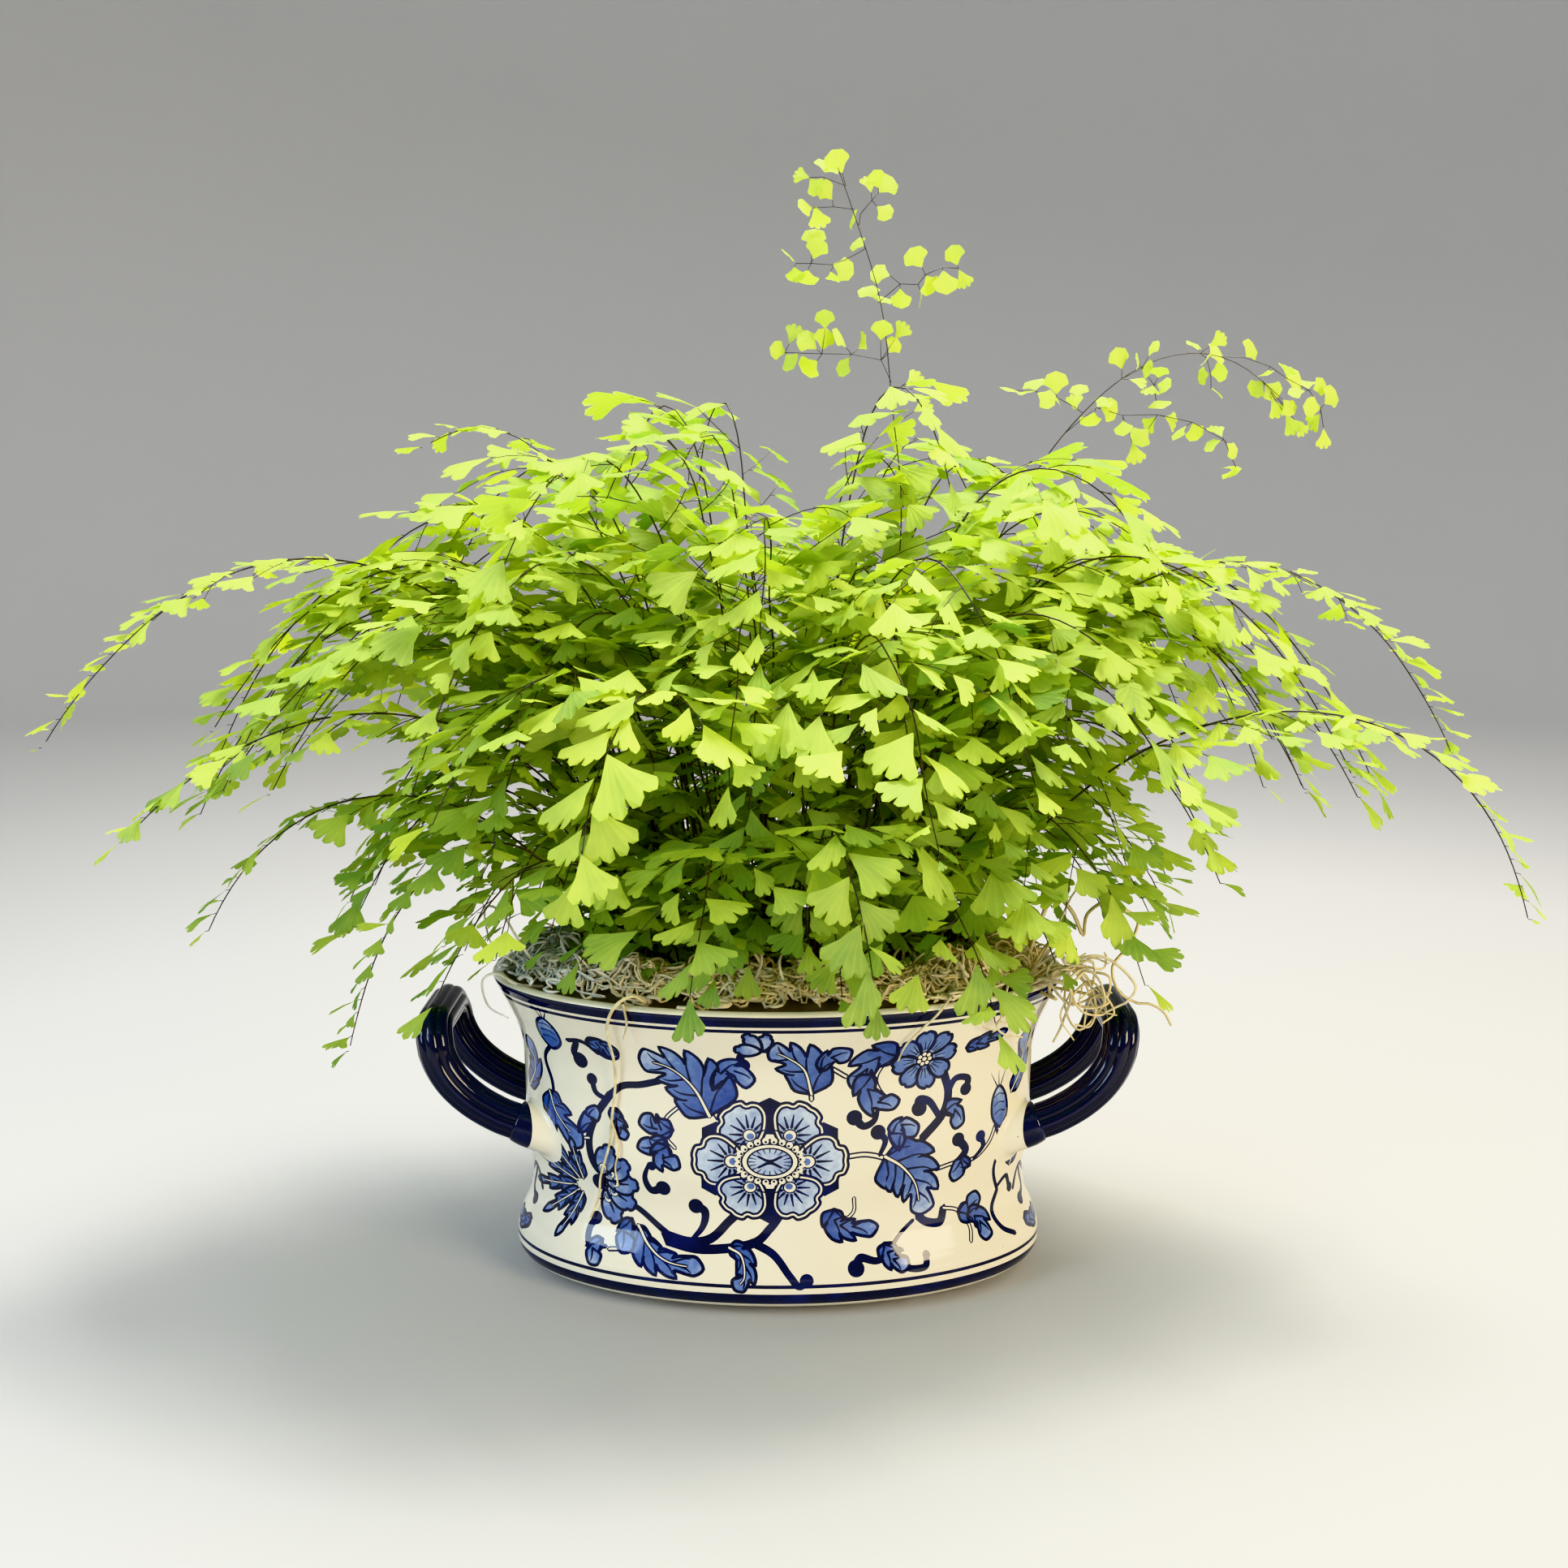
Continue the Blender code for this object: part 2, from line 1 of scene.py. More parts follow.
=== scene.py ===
"""A maidenhair fern in an oval blue and white planter: its looks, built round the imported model.

Sizes in the tables are in millimetres, as in the part's source, and become metres when a mesh is
made. +Z is up and -Y is the front. The planter's painting is laid out on its unrolled wall.
"""
import json
import math
import random

import bmesh
import bpy
import numpy as np
from bpy.props import FloatProperty, FloatVectorProperty, IntProperty, PointerProperty
from mathutils import Euler, Matrix, Vector, geometry, noise

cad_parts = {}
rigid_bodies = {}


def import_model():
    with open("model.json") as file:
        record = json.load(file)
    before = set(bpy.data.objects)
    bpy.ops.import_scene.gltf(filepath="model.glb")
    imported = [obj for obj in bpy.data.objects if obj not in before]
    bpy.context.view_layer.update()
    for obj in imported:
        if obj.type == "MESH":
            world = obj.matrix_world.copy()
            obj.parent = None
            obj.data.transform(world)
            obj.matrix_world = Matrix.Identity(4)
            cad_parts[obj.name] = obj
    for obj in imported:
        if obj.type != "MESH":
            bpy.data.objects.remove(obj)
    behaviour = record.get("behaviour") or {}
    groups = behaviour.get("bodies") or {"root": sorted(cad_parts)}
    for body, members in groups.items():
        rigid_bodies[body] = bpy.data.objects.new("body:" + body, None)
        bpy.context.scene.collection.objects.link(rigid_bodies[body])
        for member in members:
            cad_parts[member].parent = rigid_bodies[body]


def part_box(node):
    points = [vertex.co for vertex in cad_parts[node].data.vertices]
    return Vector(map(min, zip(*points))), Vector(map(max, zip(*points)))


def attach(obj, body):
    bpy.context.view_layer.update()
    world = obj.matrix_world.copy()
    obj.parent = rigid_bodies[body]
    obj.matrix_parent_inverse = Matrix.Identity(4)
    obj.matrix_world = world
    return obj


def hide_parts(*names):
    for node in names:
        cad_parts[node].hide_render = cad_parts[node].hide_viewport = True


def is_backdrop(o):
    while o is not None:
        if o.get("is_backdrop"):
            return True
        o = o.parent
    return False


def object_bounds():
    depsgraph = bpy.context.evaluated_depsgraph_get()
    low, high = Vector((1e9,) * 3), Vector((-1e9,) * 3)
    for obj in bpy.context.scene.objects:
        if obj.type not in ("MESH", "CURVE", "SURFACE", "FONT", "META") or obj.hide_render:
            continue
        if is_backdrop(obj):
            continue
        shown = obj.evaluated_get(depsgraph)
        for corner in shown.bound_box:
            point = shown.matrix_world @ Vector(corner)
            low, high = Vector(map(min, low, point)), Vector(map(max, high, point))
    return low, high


bl_info = {
    "name": "Potted maidenhair fern",
    "version": (1, 0, 0),
    "blender": (4, 5, 0),
    "location": "3D View > Sidebar > Fern",
    "description": "Dresses the packed fern and its planter",
    "category": "Object",
}

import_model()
CAD_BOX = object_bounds()
MM = 0.001
FULL_TURN = 2 * math.pi
NEAR_TURN = 6.28        # the top of each random draw of an angle
UP = Vector((0, 0, 1))

# Planter: one oval, moved in or out with height, as in the part's source
HALF_LENGTH = 144.0
HALF_DEPTH = 80.0
WALL = 6.3
OUTSIDE = [(5, -5), (6.5, -1), (11, 4), (21, 6), (33, 3), (45, -2), (55, -3.5),
           (82, -0.6), (120, 0), (134, 1), (145, 4), (155, 8.5), (168.5, 15.0), (172, 16.6),
           (173.5, 16.4)]
LIP = [(174.4, 15.6), (174.9, 14.3), (175, 12.8), (174.8, 11.4), (174.2, 10.4)]
INSIDE_HEIGHTS = [171, 168, 162, 155, 145, 134, 120, 82, 55, 33, 21, 15]
FLOOR_Z = 12.0
FLOOR_INSET = 5.0
FOOT = [(6.5, -1), (5.5, -3), (5, -5)]
PAINTED_LOW, PAINTED_HIGH = 7.4, 173.4
HALF_COLUMNS = 120      # columns of the painted grid, from one end of the planter to the other
GRID_STEP = 2.8
# Painted bands round the wall: lower and upper edge
BANDS = [(9.8, 16.6), (19.8, 21.8), (163.4, 165.4), (167.0, 173.0)]

# Handles and bosses
LEG_Y = 30.0
LEG_RADIUS = 10.4
FLUTE_DEPTH = 1.1
FLUTES = 8
BOSS_RADIUS = 12.0
BOSS_START = Vector((118, 0, 82.7))
BOSS_FACE = Vector((145.6, 0, 92.7))
BOSS_AXIS = (BOSS_FACE - BOSS_START).normalized()
ACROSS = Vector((0, 1, 0))
BOSS_RISE = BOSS_AXIS.cross(ACROSS)
FILLET, FILLET_STEPS = 3.6, 4
SINK = 2.6              # how deep the boss starts inside the wall
# The rounded end of a boss: how far in from its radius, and share of its neck's depth
SHOULDER = [(0, 1), (0.15, 0.6), (0.6, 0.3), (1.1, 0.1), (1.45, 0)]
NECK, NECK_SHARE = 0.76, 0.5
BOSS_LAND = 0.8         # the least depth between a boss's face and its fillet
DEEPEST = 60.0          # further than any boss reaches
LEG_LINE = [(155, 96.5), (167.5, 104), (178, 113.5), (185, 124), (189, 135.5), (190.5, 146.5)]
SEAM = 0.05
CORNER = 13.0           # how far from its corner the handle starts to bend

# Pads: height over the base and how far in from the pad's radius
PAD_EDGE = [(0, 0.9), (0.25, 0.3), (0.9, 0)]

# Soil and moss
TOUCH = 0.3             # the gap between two pieces that touch
SOIL_TOP = 150.0
SOIL_HEIGHTS = [21, 33, 55, 82, 120, 134, 149.6]
SOIL_SHARES = [1.0, 0.85, 0.7, 0.55, 0.4, 0.25, 0.1]
CHIP_SMALLEST, CHIP_LARGEST = 0.0010, 0.0026    # in metres
CROWN_X, CROWN_Y = 112.0, 57.0
MOSS_TOP = 168.0
MOSS_FOOT = 151.0       # the mat is flat below this height
MOSS_WALL_GAP = 2.2
LIP_TOP = 175.0
LIP_OUT, STRAND_OUT, RIM_REACH = 8, 5, 14.0
# Shares of the strands that lie near the wall, loop up and lie on the rim
NEAR_WALL_SHARE, HUMP_SHARE, RIM_SHARE = 0.86, 0.08, 0.10
GREY_END, GREY_START = -122, -66    # the moss turns from grey to gold between these places; the grey is partly the moss's own and partly painted cool light from the left
PALE_LEFT = -115        # hanging strands are grey left of this place, partly painted cool light
MOSS_SECTION = [(1, 150.3), (1, 160), (0.86, MOSS_TOP), (0.5, MOSS_TOP + 4), (0.14, MOSS_TOP),
                (0, 161), (0, 150.3)]
# Height of the strands on the mat by the share from its inner edge to the wall. Among the stems
# they lie lower.
STRAND_SHARES, STRAND_HEIGHTS = [0, 0.14, 0.5, 0.86, 1.0], [184, 186, 184, 180, 175.5]
CROWN_HEIGHT, CROWN_RISE = 156.0, 28.0

# Fronds, by the same rule and values as in the part's source
ROOT_DEPTH = 18.0
EMERGE = 6.0
DROOP = 0.0038
ROLL_START = 0.4
# Rings: count, oval of roots, oval of tips, height of tips, crest, first turn, half width,
# leaflet, roll of the blade
RINGS = [
    (10, (94, 44), (236, 176), 196, 262, 8, 74, 38, 15),
    (10, (74, 34), (288, 200), 288, 362, 24, 84, 40, 16),
    (8, (50, 24), (238, 152), 372, 438, 5, 84, 40, 16),
    (4, (26, 14), (140, 88), 424, 474, 50, 74, 38, 13),
    (3, (10, 6), (70, 56), 446, 468, 8, 66, 36, 10),
]
WAVE = 11.0
LEAN_BACK = 6.0
RING_BARE = 0.42
RISE_OUT, OVER_OUT = 0.10, 0.66
CREST_SHARE = 0.6
TURN_DRAW, REACH_DRAW, TIP_DRAW, CREST_DRAW = 0.22, 0.07, 14.0, 6.0
# Single fronds: name, stem, heading of the blade, bare share, half width, leaflet
SOLO = [
    ("tall", [(33, 3, 132), (74, 10, 300), (84, 14, 500), (30, 12, 612)],
     -90, 0.6, 80, 19),
    ("upper_right", [(58, 12, 132), (72, 40, 400), (205, 62, 600), (296, 66, 478)],
     10, 0.5, 60, 25),
    ("upper_left", [(-30, 20, 132), (-56, 44, 350), (-118, 72, 520), (-206, 76, 462)],
     160, 0.5, 54, 26),
    ("left_long", [(-60, -2, 132), (-104, -10, 416), (-274, -22, 484), (-396, -26, 302)],
     183, 0.42, 54, 28),
    ("left_mid", [(-62, -22, 132), (-84, -44, 350), (-236, -84, 372), (-334, -84, 262)],
     193, 0.42, 54, 28),
    ("left_low", [(-82, -12, 132), (-114, -22, 300), (-250, -54, 322), (-300, -62, 210)],
     187, 0.42, 48, 27),
    ("left_hanging", [(-88, -24, 132), (-104, -40, 300), (-194, -74, 290), (-224, -80, 150)],
     202, 0.5, 30, 24),
    ("right_long", [(64, 4, 132), (104, 2, 420), (290, 10, 480), (380, 20, 292)],
     3, 0.42, 56, 28),
    ("right_low", [(80, -20, 132), (124, -40, 340), (340, -80, 400), (386, -84, 222)],
     -7, 0.42, 48, 28),
    ("front_rim", [(16, -38, 132), (16, -84, 300), (26, -176, 330), (46, -178, 206)],
     -84, 0.42, 60, 38),
    ("front_left", [(-25, -30, 132), (-30, -48, 360), (-66, -176, 408), (-90, -193, 268)],
     -105, 0.42, 66, 42),
]

# Young fronds that fill the dome: bare share, painted shade that deepens the tone of fronds inside
# the dome, how far they gather at the two ends, ring
YOUNG_RINGS = [
    ("young_low", 0.18, 0.20, 0.0, (14, (60, 32), (116, 82), 190, 226, 5, 42, 30, 12)),
    ("young_inner", 0.24, 0.12, 0.0, (16, (46, 22), (84, 60), 244, 296, 17, 48, 33, 12)),
    ("young_fill", 0.30, 0.06, 0.22, (12, (84, 36), (238, 118), 222, 302, 9, 52, 30, 14)),
    ("young_rim", 0.25, 0.14, 0.0, (16, (92, 44), (176, 124), 198, 250, 12, 46, 29, 12)),
    ("young_mid", 0.30, 0.08, 0.0, (12, (64, 30), (192, 128), 262, 330, 2, 58, 31, 14)),
    ("young_high", RING_BARE, 0.0, 0.0, (14, (60, 30), (306, 166), 300, 394, 8, 62, 33, 15)),
    ("young_ends", 0.34, 0.0, 0.36, (12, (80, 20), (318, 120), 272, 388, 14, 52, 32, 15)),
]
# How far a frond of the photo's outline droops to its sides, and how level its leaflets lie
SIDE_DROOP = 1.9
FRONT_LEVEL = 0.22
BOX_SPARE = 6.0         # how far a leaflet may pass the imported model's box
SMALLEST_LEAF = 6.0
SIZE_DRAW = (0.74, 1.2)
RIB_LEAN = (54, 68)     # angle of a side rib to the stem
LEAF_OPEN, TIP_OPEN = (36, 58), (28, 48)    # angle of a leaflet to its rib, and to the stem's tip
MIXED_LEAVES = 0.22     # share of a rib's leaflets that are whole fans
TIER_LEAF = (9.5, 13.5)
USUAL_LEAFLET = 36.0    # the leaflet whose blade has the thickness asked for
ROOT_SPARE = 0.01       # metres that a stem's root may lie outside its CAD node
STEM_STEP, RIB_STEP = 9.0, 7.0
STEM_TONE = 0.5
# Leaflets are paler high up and far out, as painted light, and deeper low and inside the dome, as
# painted shade: where the dome starts and how far it goes
DOME_LOW, DOME_TALL, DOME_WIDE, DOME_DEEP = 180, 330, 330, 200
# How leaflets tilt round their three axes: middle and spread, in degrees
LEAF_TILT = [(0, 17), (9, 12), (0, 8)]
# What a leaf point carries besides its place and its tone
LEAF_VALUES = [("turn", "FLOAT_VECTOR", (0, 0, 0)), ("size", "FLOAT", 0.0), ("shape", "INT", 0)]
# The tall frond's tiers as seen from the front: height on the stem, twig, leaflets
TALL_TIERS = [
    (474, [], [(79, 484)]),
    (488, [], [(74, 498)]),
    (496, [(56, 508), (40, 511), (24, 511), (4, 512)], [(66, 523), (64, 515), (55, 523),
     (48, 517), (35, 505), (33, 519), (26, 529), (24, 519), (18, 503), (16, 517), (9, 522),
     (6, 507), (0, 513)]),
    (538, [(66, 548), (75, 547), (79, 552), (88, 556), (97, 556)], [(56, 555), (50, 546),
     (57, 541), (66, 540), (79, 540), (74, 561), (82, 547), (90, 548), (95, 563), (100, 551)]),
    (566, [(40, 562), (30, 557), (18, 558), (10, 558)], [(43, 570), (35, 555), (27, 551),
     (22, 565), (19, 573), (14, 551), (8, 555), (7, 563)]),
    (578, [(44, 583), (50, 590), (54, 595)], [(39, 584), (56, 583), (49, 599), (53, 602),
     (60, 598)]),
    (586, [(30, 588), (20, 587)], [(28, 595), (21, 582), (15, 586)]),
    (598, [(24, 602), (17, 602)], [(27, 609), (19, 597), (13, 604), (33, 611)]),
]
# The same for the upper right frond: distance across on the stem, hanging twig, leaflets
UPPER_TIERS = [
    (172, [(167, 484), (157, 490), (145, 493), (133, 494)], [(130, 495), (140, 494), (150, 488),
     (159, 492), (167, 487), (157, 498), (170, 494), (145, 498)]),
    (162, [(179, 484), (195, 480), (213, 480), (234, 476), (251, 466), (259, 451)], [(177, 476),
     (184, 487), (188, 483), (195, 473), (205, 467), (202, 459), (210, 475), (223, 477),
     (226, 471), (237, 471), (244, 465), (248, 472), (257, 461), (260, 455), (259, 447)]),
    (194, [(206, 506), (213, 497), (214, 488)], [(193, 511), (201, 510), (207, 505), (215, 503),
     (218, 497), (210, 495), (215, 487), (203, 499), (211, 517)]),
    (239, [(243, 512), (245, 503), (246, 495)], [(237, 520), (247, 521), (250, 516), (243, 510),
     (240, 503), (249, 503), (247, 494)]),
    (250, [(264, 512), (278, 507), (290, 501), (302, 494), (308, 484), (310, 473)], [(270, 515),
     (278, 502), (288, 506), (295, 500), (301, 499), (295, 493), (309, 496), (315, 491),
     (303, 484), (311, 478), (311, 467)]),
    (276, [], [(272, 496), (281, 494), (284, 484), (291, 485), (293, 475), (298, 473)]),
]
# Which coordinate of the stem the first column follows, and the rows
TIERS = {"frond_tall": (2, TALL_TIERS), "frond_upper_right": (0, UPPER_TIERS)}

# The blades: veins in a turn round their base, and how much light they let through
VEIN_COUNT = 62.0
LIGHT_THROUGH = 0.55

# Camera in metres and degrees, measured from the ovals of the rim and the base
CAMERA_PLACE = (0.0035, -0.976, 0.449)
CAMERA_TILT = 9.95
SENSOR = 36.0
CAMERA_LENS = SENSOR * 2200 / 1932
# Lamps in metres: name, place, height of the point they face, size, power, tint
LAMPS = [
    ("top", (0.3, 0.2, 1.7), 0.3, (0.9, 0.7), 52, (1.0, 0.97, 0.88)),
    ("left", (-1.5, -1.1, 0.9), 0.2, (0.9, 1.1), 25, (0.62, 0.80, 1.0)),
    ("right", (1.4, -1.4, 0.8), 0.2, (0.8, 1.0), 35, (1.0, 0.86, 0.62)),
]
# The floor's section, in metres: flat part, radius of the bend, top of the wall
FLOOR_FLAT, FLOOR_BEND, FLOOR_TOP = 2.6, 1.3, 3.0


def colour(name, default, description):
    return FloatVectorProperty(name=name, description=description, default=default, size=3,
                               min=0, max=1, subtype="COLOR")


def measure(name, default, description, low=0, **limits):
    return FloatProperty(name=name, description=description, default=default, min=low, **limits)


def length(name, default, description):
    return measure(name, default, description, unit="LENGTH", precision=5)


def amount(name, default, description, **limits):
    return IntProperty(name=name, description=description, default=default, **limits)


class FERN_PG_planter(bpy.types.PropertyGroup):
    """Sizes and colours of the planter."""

    glaze: colour("Glaze", (0.78, 0.72, 0.57), "Cream glaze of the body")
    cobalt: colour("Cobalt", (0.0035, 0.0045, 0.026), "Painted lines, bands and handles")
    wash: colour("Wash", (0.022, 0.052, 0.25), "Thinned cobalt inside the painted leaves")
    line_width: length("Line width", 0.0018, "Width of the outline round a painted leaf")
    pad_colour: colour("Pads", (0.78, 0.76, 0.72), "Rubber pads under the base")


class FERN_PG_fern(bpy.types.PropertyGroup):
    """Sizes and colours of the fronds."""

    # The pale leaf colour is painted light for leaflets high and far out in the dome, the deep one
    # painted shade for those low and inside it; random tone also runs between them.
    young: colour("Young leaf", (0.75, 0.84, 0.21), "Leaflets in the light")
    deep_shaded_leaf: colour("Old leaf", (0.25, 0.37, 0.12), "Leaflets low in the plant")
    stem: colour("Stem", (0.018, 0.010, 0.007), "Wiry stems and ribs")
    rib_spacing: length("Rib spacing", 0.017, "Distance between side ribs along a stem")
    leaf_spacing: measure("Leaflet spacing", 0.37, "Distance between leaflets, in leaflet lengths",
                          low=0.2, max=2)
    leaf_share: measure("Leaflet size", 0.92, "Leaflet length as a share of the packed model's",
                        low=0.2, max=1.2)
    level: measure("Level", 0.6, "How far leaflets turn their upper faces to the sky", max=1)
    thickness: length("Blade thickness", 0.0004, "Thickness of a leaflet")
    stem_radius: length("Stem radius", 0.00088, "Radius of a stem at the soil")
    tip_radius: length("Tip radius", 0.0003, "Radius of a stem at its tip")
    seed: amount("Seed", 5, "Fixes every random draw")


class FERN_PG_moss(bpy.types.PropertyGroup):
    """Sizes and colours of the moss and the soil."""

    dry: colour("Dry moss", (0.95, 0.77, 0.37), "Golden strands at the front and right")
    # The grey is partly the moss's own colour and partly painted cool light from the left.
    grey: colour("Grey moss", (0.84, 0.87, 0.84), "Pale strands at the left")
    soil: colour("Soil", (0.040, 0.025, 0.016), "Potting mix")
    strands: amount("Strands", 1600, "Loose strands", min=1)
    strand_radius: length("Strand radius", 0.00105, "Radius of a strand")
    chips: measure("Bark chips", 30000, "Chips on a square metre of soil")
    seed: amount("Seed", 11, "Fixes every random draw")


class FERN_PG_stage(bpy.types.PropertyGroup):
    """The studio."""

    floor: colour("Floor", (0.50, 0.495, 0.485), "Plain pale floor")
    light: measure("Light", 1.0, "Strength of all lamps")


def in_use(sockets, name=None):
    """The first enabled socket, or the first enabled one of that name."""
    return next(s for s in sockets if s.enabled and name in (None, s.name))


def add_node(tree, kind, inputs=None, **settings):
    """A node with its settings. An input is a value, an output, or a node for its first output."""
    node = tree.nodes.new(kind)
    for name, value in settings.items():
        setattr(node, name, value)
    for key, value in (inputs or {}).items():
        socket = node.inputs[key] if isinstance(key, int) else in_use(node.inputs, key)
        if isinstance(value, bpy.types.Node):
            value = in_use(value.outputs)
        if isinstance(value, bpy.types.NodeSocket):
            tree.links.new(value, socket)
        else:
            socket.default_value = value
    return node


class Finish:
    """A material with one Principled surface, and short ways to feed it."""

    def __init__(self, name, base, roughness, **inputs):
        self.material = bpy.data.materials.new(name)
        self.material.use_nodes = True
        self.tree = self.material.node_tree
        self.surface = self.tree.nodes["Principled BSDF"]
        self.surface.inputs["Base Color"].default_value = (*base, 1)
        self.surface.inputs["Roughness"].default_value = roughness
        for key, value in inputs.items():
            label = key.replace("_", " ").title().replace("Ior", "IOR")
            self.surface.inputs[label].default_value = value
        self.place = self.add("TexCoord").outputs["Object"]

    def add(self, kind, inputs=None, **settings):
        return add_node(self.tree, "ShaderNode" + kind, inputs, **settings)

    def grain(self, scale, detail=3.0):
        return self.add("TexNoise", {"Vector": self.place, "Scale": scale, "Detail": detail,
                                     "Roughness": 0.55})

    def attribute(self, name):
        return self.add("Attribute", attribute_name=name).outputs["Fac"]

    def maths(self, operation, a, b=0.0, clamp=False):
        return self.add("Math", {0: a, 1: b}, operation=operation, use_clamp=clamp)

    def spread(self, value, low, high, to_low=0.0, to_high=1.0):
        return self.add("MapRange", {"Value": value, "From Min": low, "From Max": high,
                                     "To Min": to_low, "To Max": to_high})

    def mix(self, factor, a, b):
        """Colours a and b, each a triple or a node, mixed by factor."""
        a, b = (c if isinstance(c, bpy.types.Node) else (*c, 1) for c in (a, b))
        return self.add("Mix", {"Factor": factor, "A": a, "B": b}, data_type="RGBA")

    def patches(self, scale, low, high, a, b):
        """Colour a with cloudy patches of b, whose edges fade between low and high."""
        return self.mix(self.spread(self.grain(scale), low, high), a, b)

    def uneven(self, scale, strength):
        """Uneven grain round zero."""
        return self.maths("MULTIPLY", self.maths("SUBTRACT", self.grain(scale), 0.5), strength)

    def feed(self, name, node):
        self.tree.links.new(in_use(node.outputs), self.surface.inputs[name])

    def bump(self, height, distance, strength):
        inputs = {"Height": height, "Distance": distance, "Strength": strength}
        self.feed("Normal", self.add("Bump", inputs))

    def done(self, base, scale, distance, strength, detail=1.0):
        """The material, with its colour and the grain of its relief."""
        self.feed("Base Color", base)
        self.bump(self.grain(scale, detail), distance, strength)
        return self.material


def scaled(base, share):
    """A colour, lighter or darker by a share."""
    return tuple(min(c * share, 1.0) for c in base)


def clamped(value):
    return min(1.0, max(0.0, value))


def glaze_body(look):
    """Cream glaze with faint clouds and a few specks."""
    finish = Finish("cream_glaze", look.glaze, 0.10)
    clouded = finish.patches(14, 0.35, 0.7, look.glaze, scaled(look.glaze, 0.93))
    dots = finish.add("TexVoronoi", {"Vector": finish.place, "Scale": 85.0})
    rare = finish.spread(finish.grain(37), 0.62, 0.66)
    speck = finish.maths("MULTIPLY", finish.spread(dots, 0.07, 0.045), rare)
    return finish.done(finish.mix(speck, clouded, (0.20, 0.16, 0.10)), 32, 0.0012, 0.35)


def glaze_cobalt(look, name="cobalt_glaze", ridged=False):
    """Dark cobalt glaze. On the handles it is lighter where the ridge attribute is high: thinner
    glaze on the crests of the flutes, with a painted highlight.
    """
    finish = Finish(name, look.cobalt, 0.05, specular_ior_level=0.5)
    painted = finish.patches(45, 0.5, 0.8, look.cobalt, (0.008, 0.012, 0.10))
    if ridged:
        # Crests of the flutes: thinner glaze and a painted highlight.
        ridge = finish.spread(finish.attribute("ridge"), 0.9, 1.0, 0.0, 0.5)
        painted = finish.mix(ridge, scaled(look.cobalt, 0.7), (0.010, 0.010, 0.05))
    return finish.done(painted, 20, 0.0008, 0.15)


def glaze_wash(look):
    """Thinned cobalt, pale where the wash attribute is 0 and deep where it is 1."""
    finish = Finish("cobalt_wash", look.wash, 0.10)
    depth = finish.maths("ADD", finish.attribute("wash"), finish.uneven(230, 0.55), clamp=True)
    pale = finish.mix(finish.spread(depth, 0.0, 0.45), (0.52, 0.58, 0.64), (0.12, 0.19, 0.42))
    return finish.done(finish.mix(finish.spread(depth, 0.45, 1.0), pale, look.wash),
                       32, 0.0012, 0.3)


def pad_rubber(look):
    finish = Finish("white_pad", look.pad_colour, 0.6)
    dusty = finish.patches(220, 0.4, 0.75, look.pad_colour, scaled(look.pad_colour, 0.8))
    return finish.done(dusty, 900, 0.0002, 0.4)


def soil_finish(look, name, share):
    finish = Finish(name, look.soil, 0.95)
    light, dark = scaled(look.soil, 2.4 * share), scaled(look.soil, share)
    return finish.done(finish.patches(260, 0.35, 0.7, dark, light), 500, 0.0012, 0.8, detail=3.0)


def moss_finish(look, name, share):
    """Dry strands, greyer where the tone attribute is low, with cloudy patches darkened to dark
    brown: painted shade between the strands, and random tone. share is how far they stay pale; the
    mat, with a small share, is almost all that painted shade.
    """
    finish = Finish(name, look.dry, 0.85, sheen_weight=0.25)
    base = finish.mix(finish.attribute("tone"), look.grey, look.dry)
    # The dark brown is painted shade.
    light, dark = (finish.mix(painted_shade, base, (0.055, 0.035, 0.014))
                   for painted_shade in (1 - 0.5 * share, 1 - share))
    return finish.done(finish.patches(160, 0.3, 0.75, light, dark), 1400, 0.0003, 0.6)


def leaf_finish(look):
    """Thin leaf tissue with fanned veins that lets light through. Its colour, and the colour of
    the light it lets through, are paler where the tone attribute is high: painted light and shade
    from the leaflet's place in the dome, and random tone.
    """
    finish = Finish("leaf_green", look.young, 0.5, specular_ior_level=0.14)
    # The tone is painted light and shade from the leaflet's place, with random tone; the grain
    # adds more random tone.
    light_and_tone = finish.maths("ADD", finish.attribute("tone"), finish.uneven(60, 0.7), clamp=True)
    place = finish.add("SeparateXYZ", {"Vector": finish.add("UVMap", uv_map="UVMap")}).outputs
    fan = finish.maths("ARCTAN2", finish.maths("SUBTRACT", place["X"], 0.5), place["Y"])
    ridges = finish.maths("SINE", finish.maths("MULTIPLY", fan, VEIN_COUNT))
    vein = finish.maths("MULTIPLY", finish.spread(ridges, 0.55, 1.0), 0.22)
    tissue = finish.mix(light_and_tone, look.deep_shaded_leaf, look.young)
    finish.feed("Base Color", finish.mix(vein, tissue, scaled(look.young, 1.15)))
    finish.bump(ridges, 0.00012, 0.5)
    # The light let through is paler or deeper by the same painted light and shade.
    glow = finish.mix(light_and_tone, scaled(look.deep_shaded_leaf, 1.8), (0.90, 0.96, 0.22))
    through = finish.add("BsdfTranslucent", {"Color": glow})
    both = finish.add("MixShader", {0: LIGHT_THROUGH, 1: finish.surface, 2: through})
    out = finish.tree.nodes["Material Output"]
    finish.tree.links.new(both.outputs[0], out.inputs["Surface"])
    return finish.material


def stem_finish(look):
    finish = Finish("wiry_stem", look.stem, 0.32, specular_ior_level=0.5)
    return finish.done(finish.patches(70, 0.5, 0.8, look.stem, (0.09, 0.045, 0.018)),
                       600, 0.0002, 0.4)


def linked(name, data):
    """A new object in the scene's own collection."""
    made = bpy.data.objects.new(name, data)
    bpy.context.scene.collection.objects.link(made)
    return made


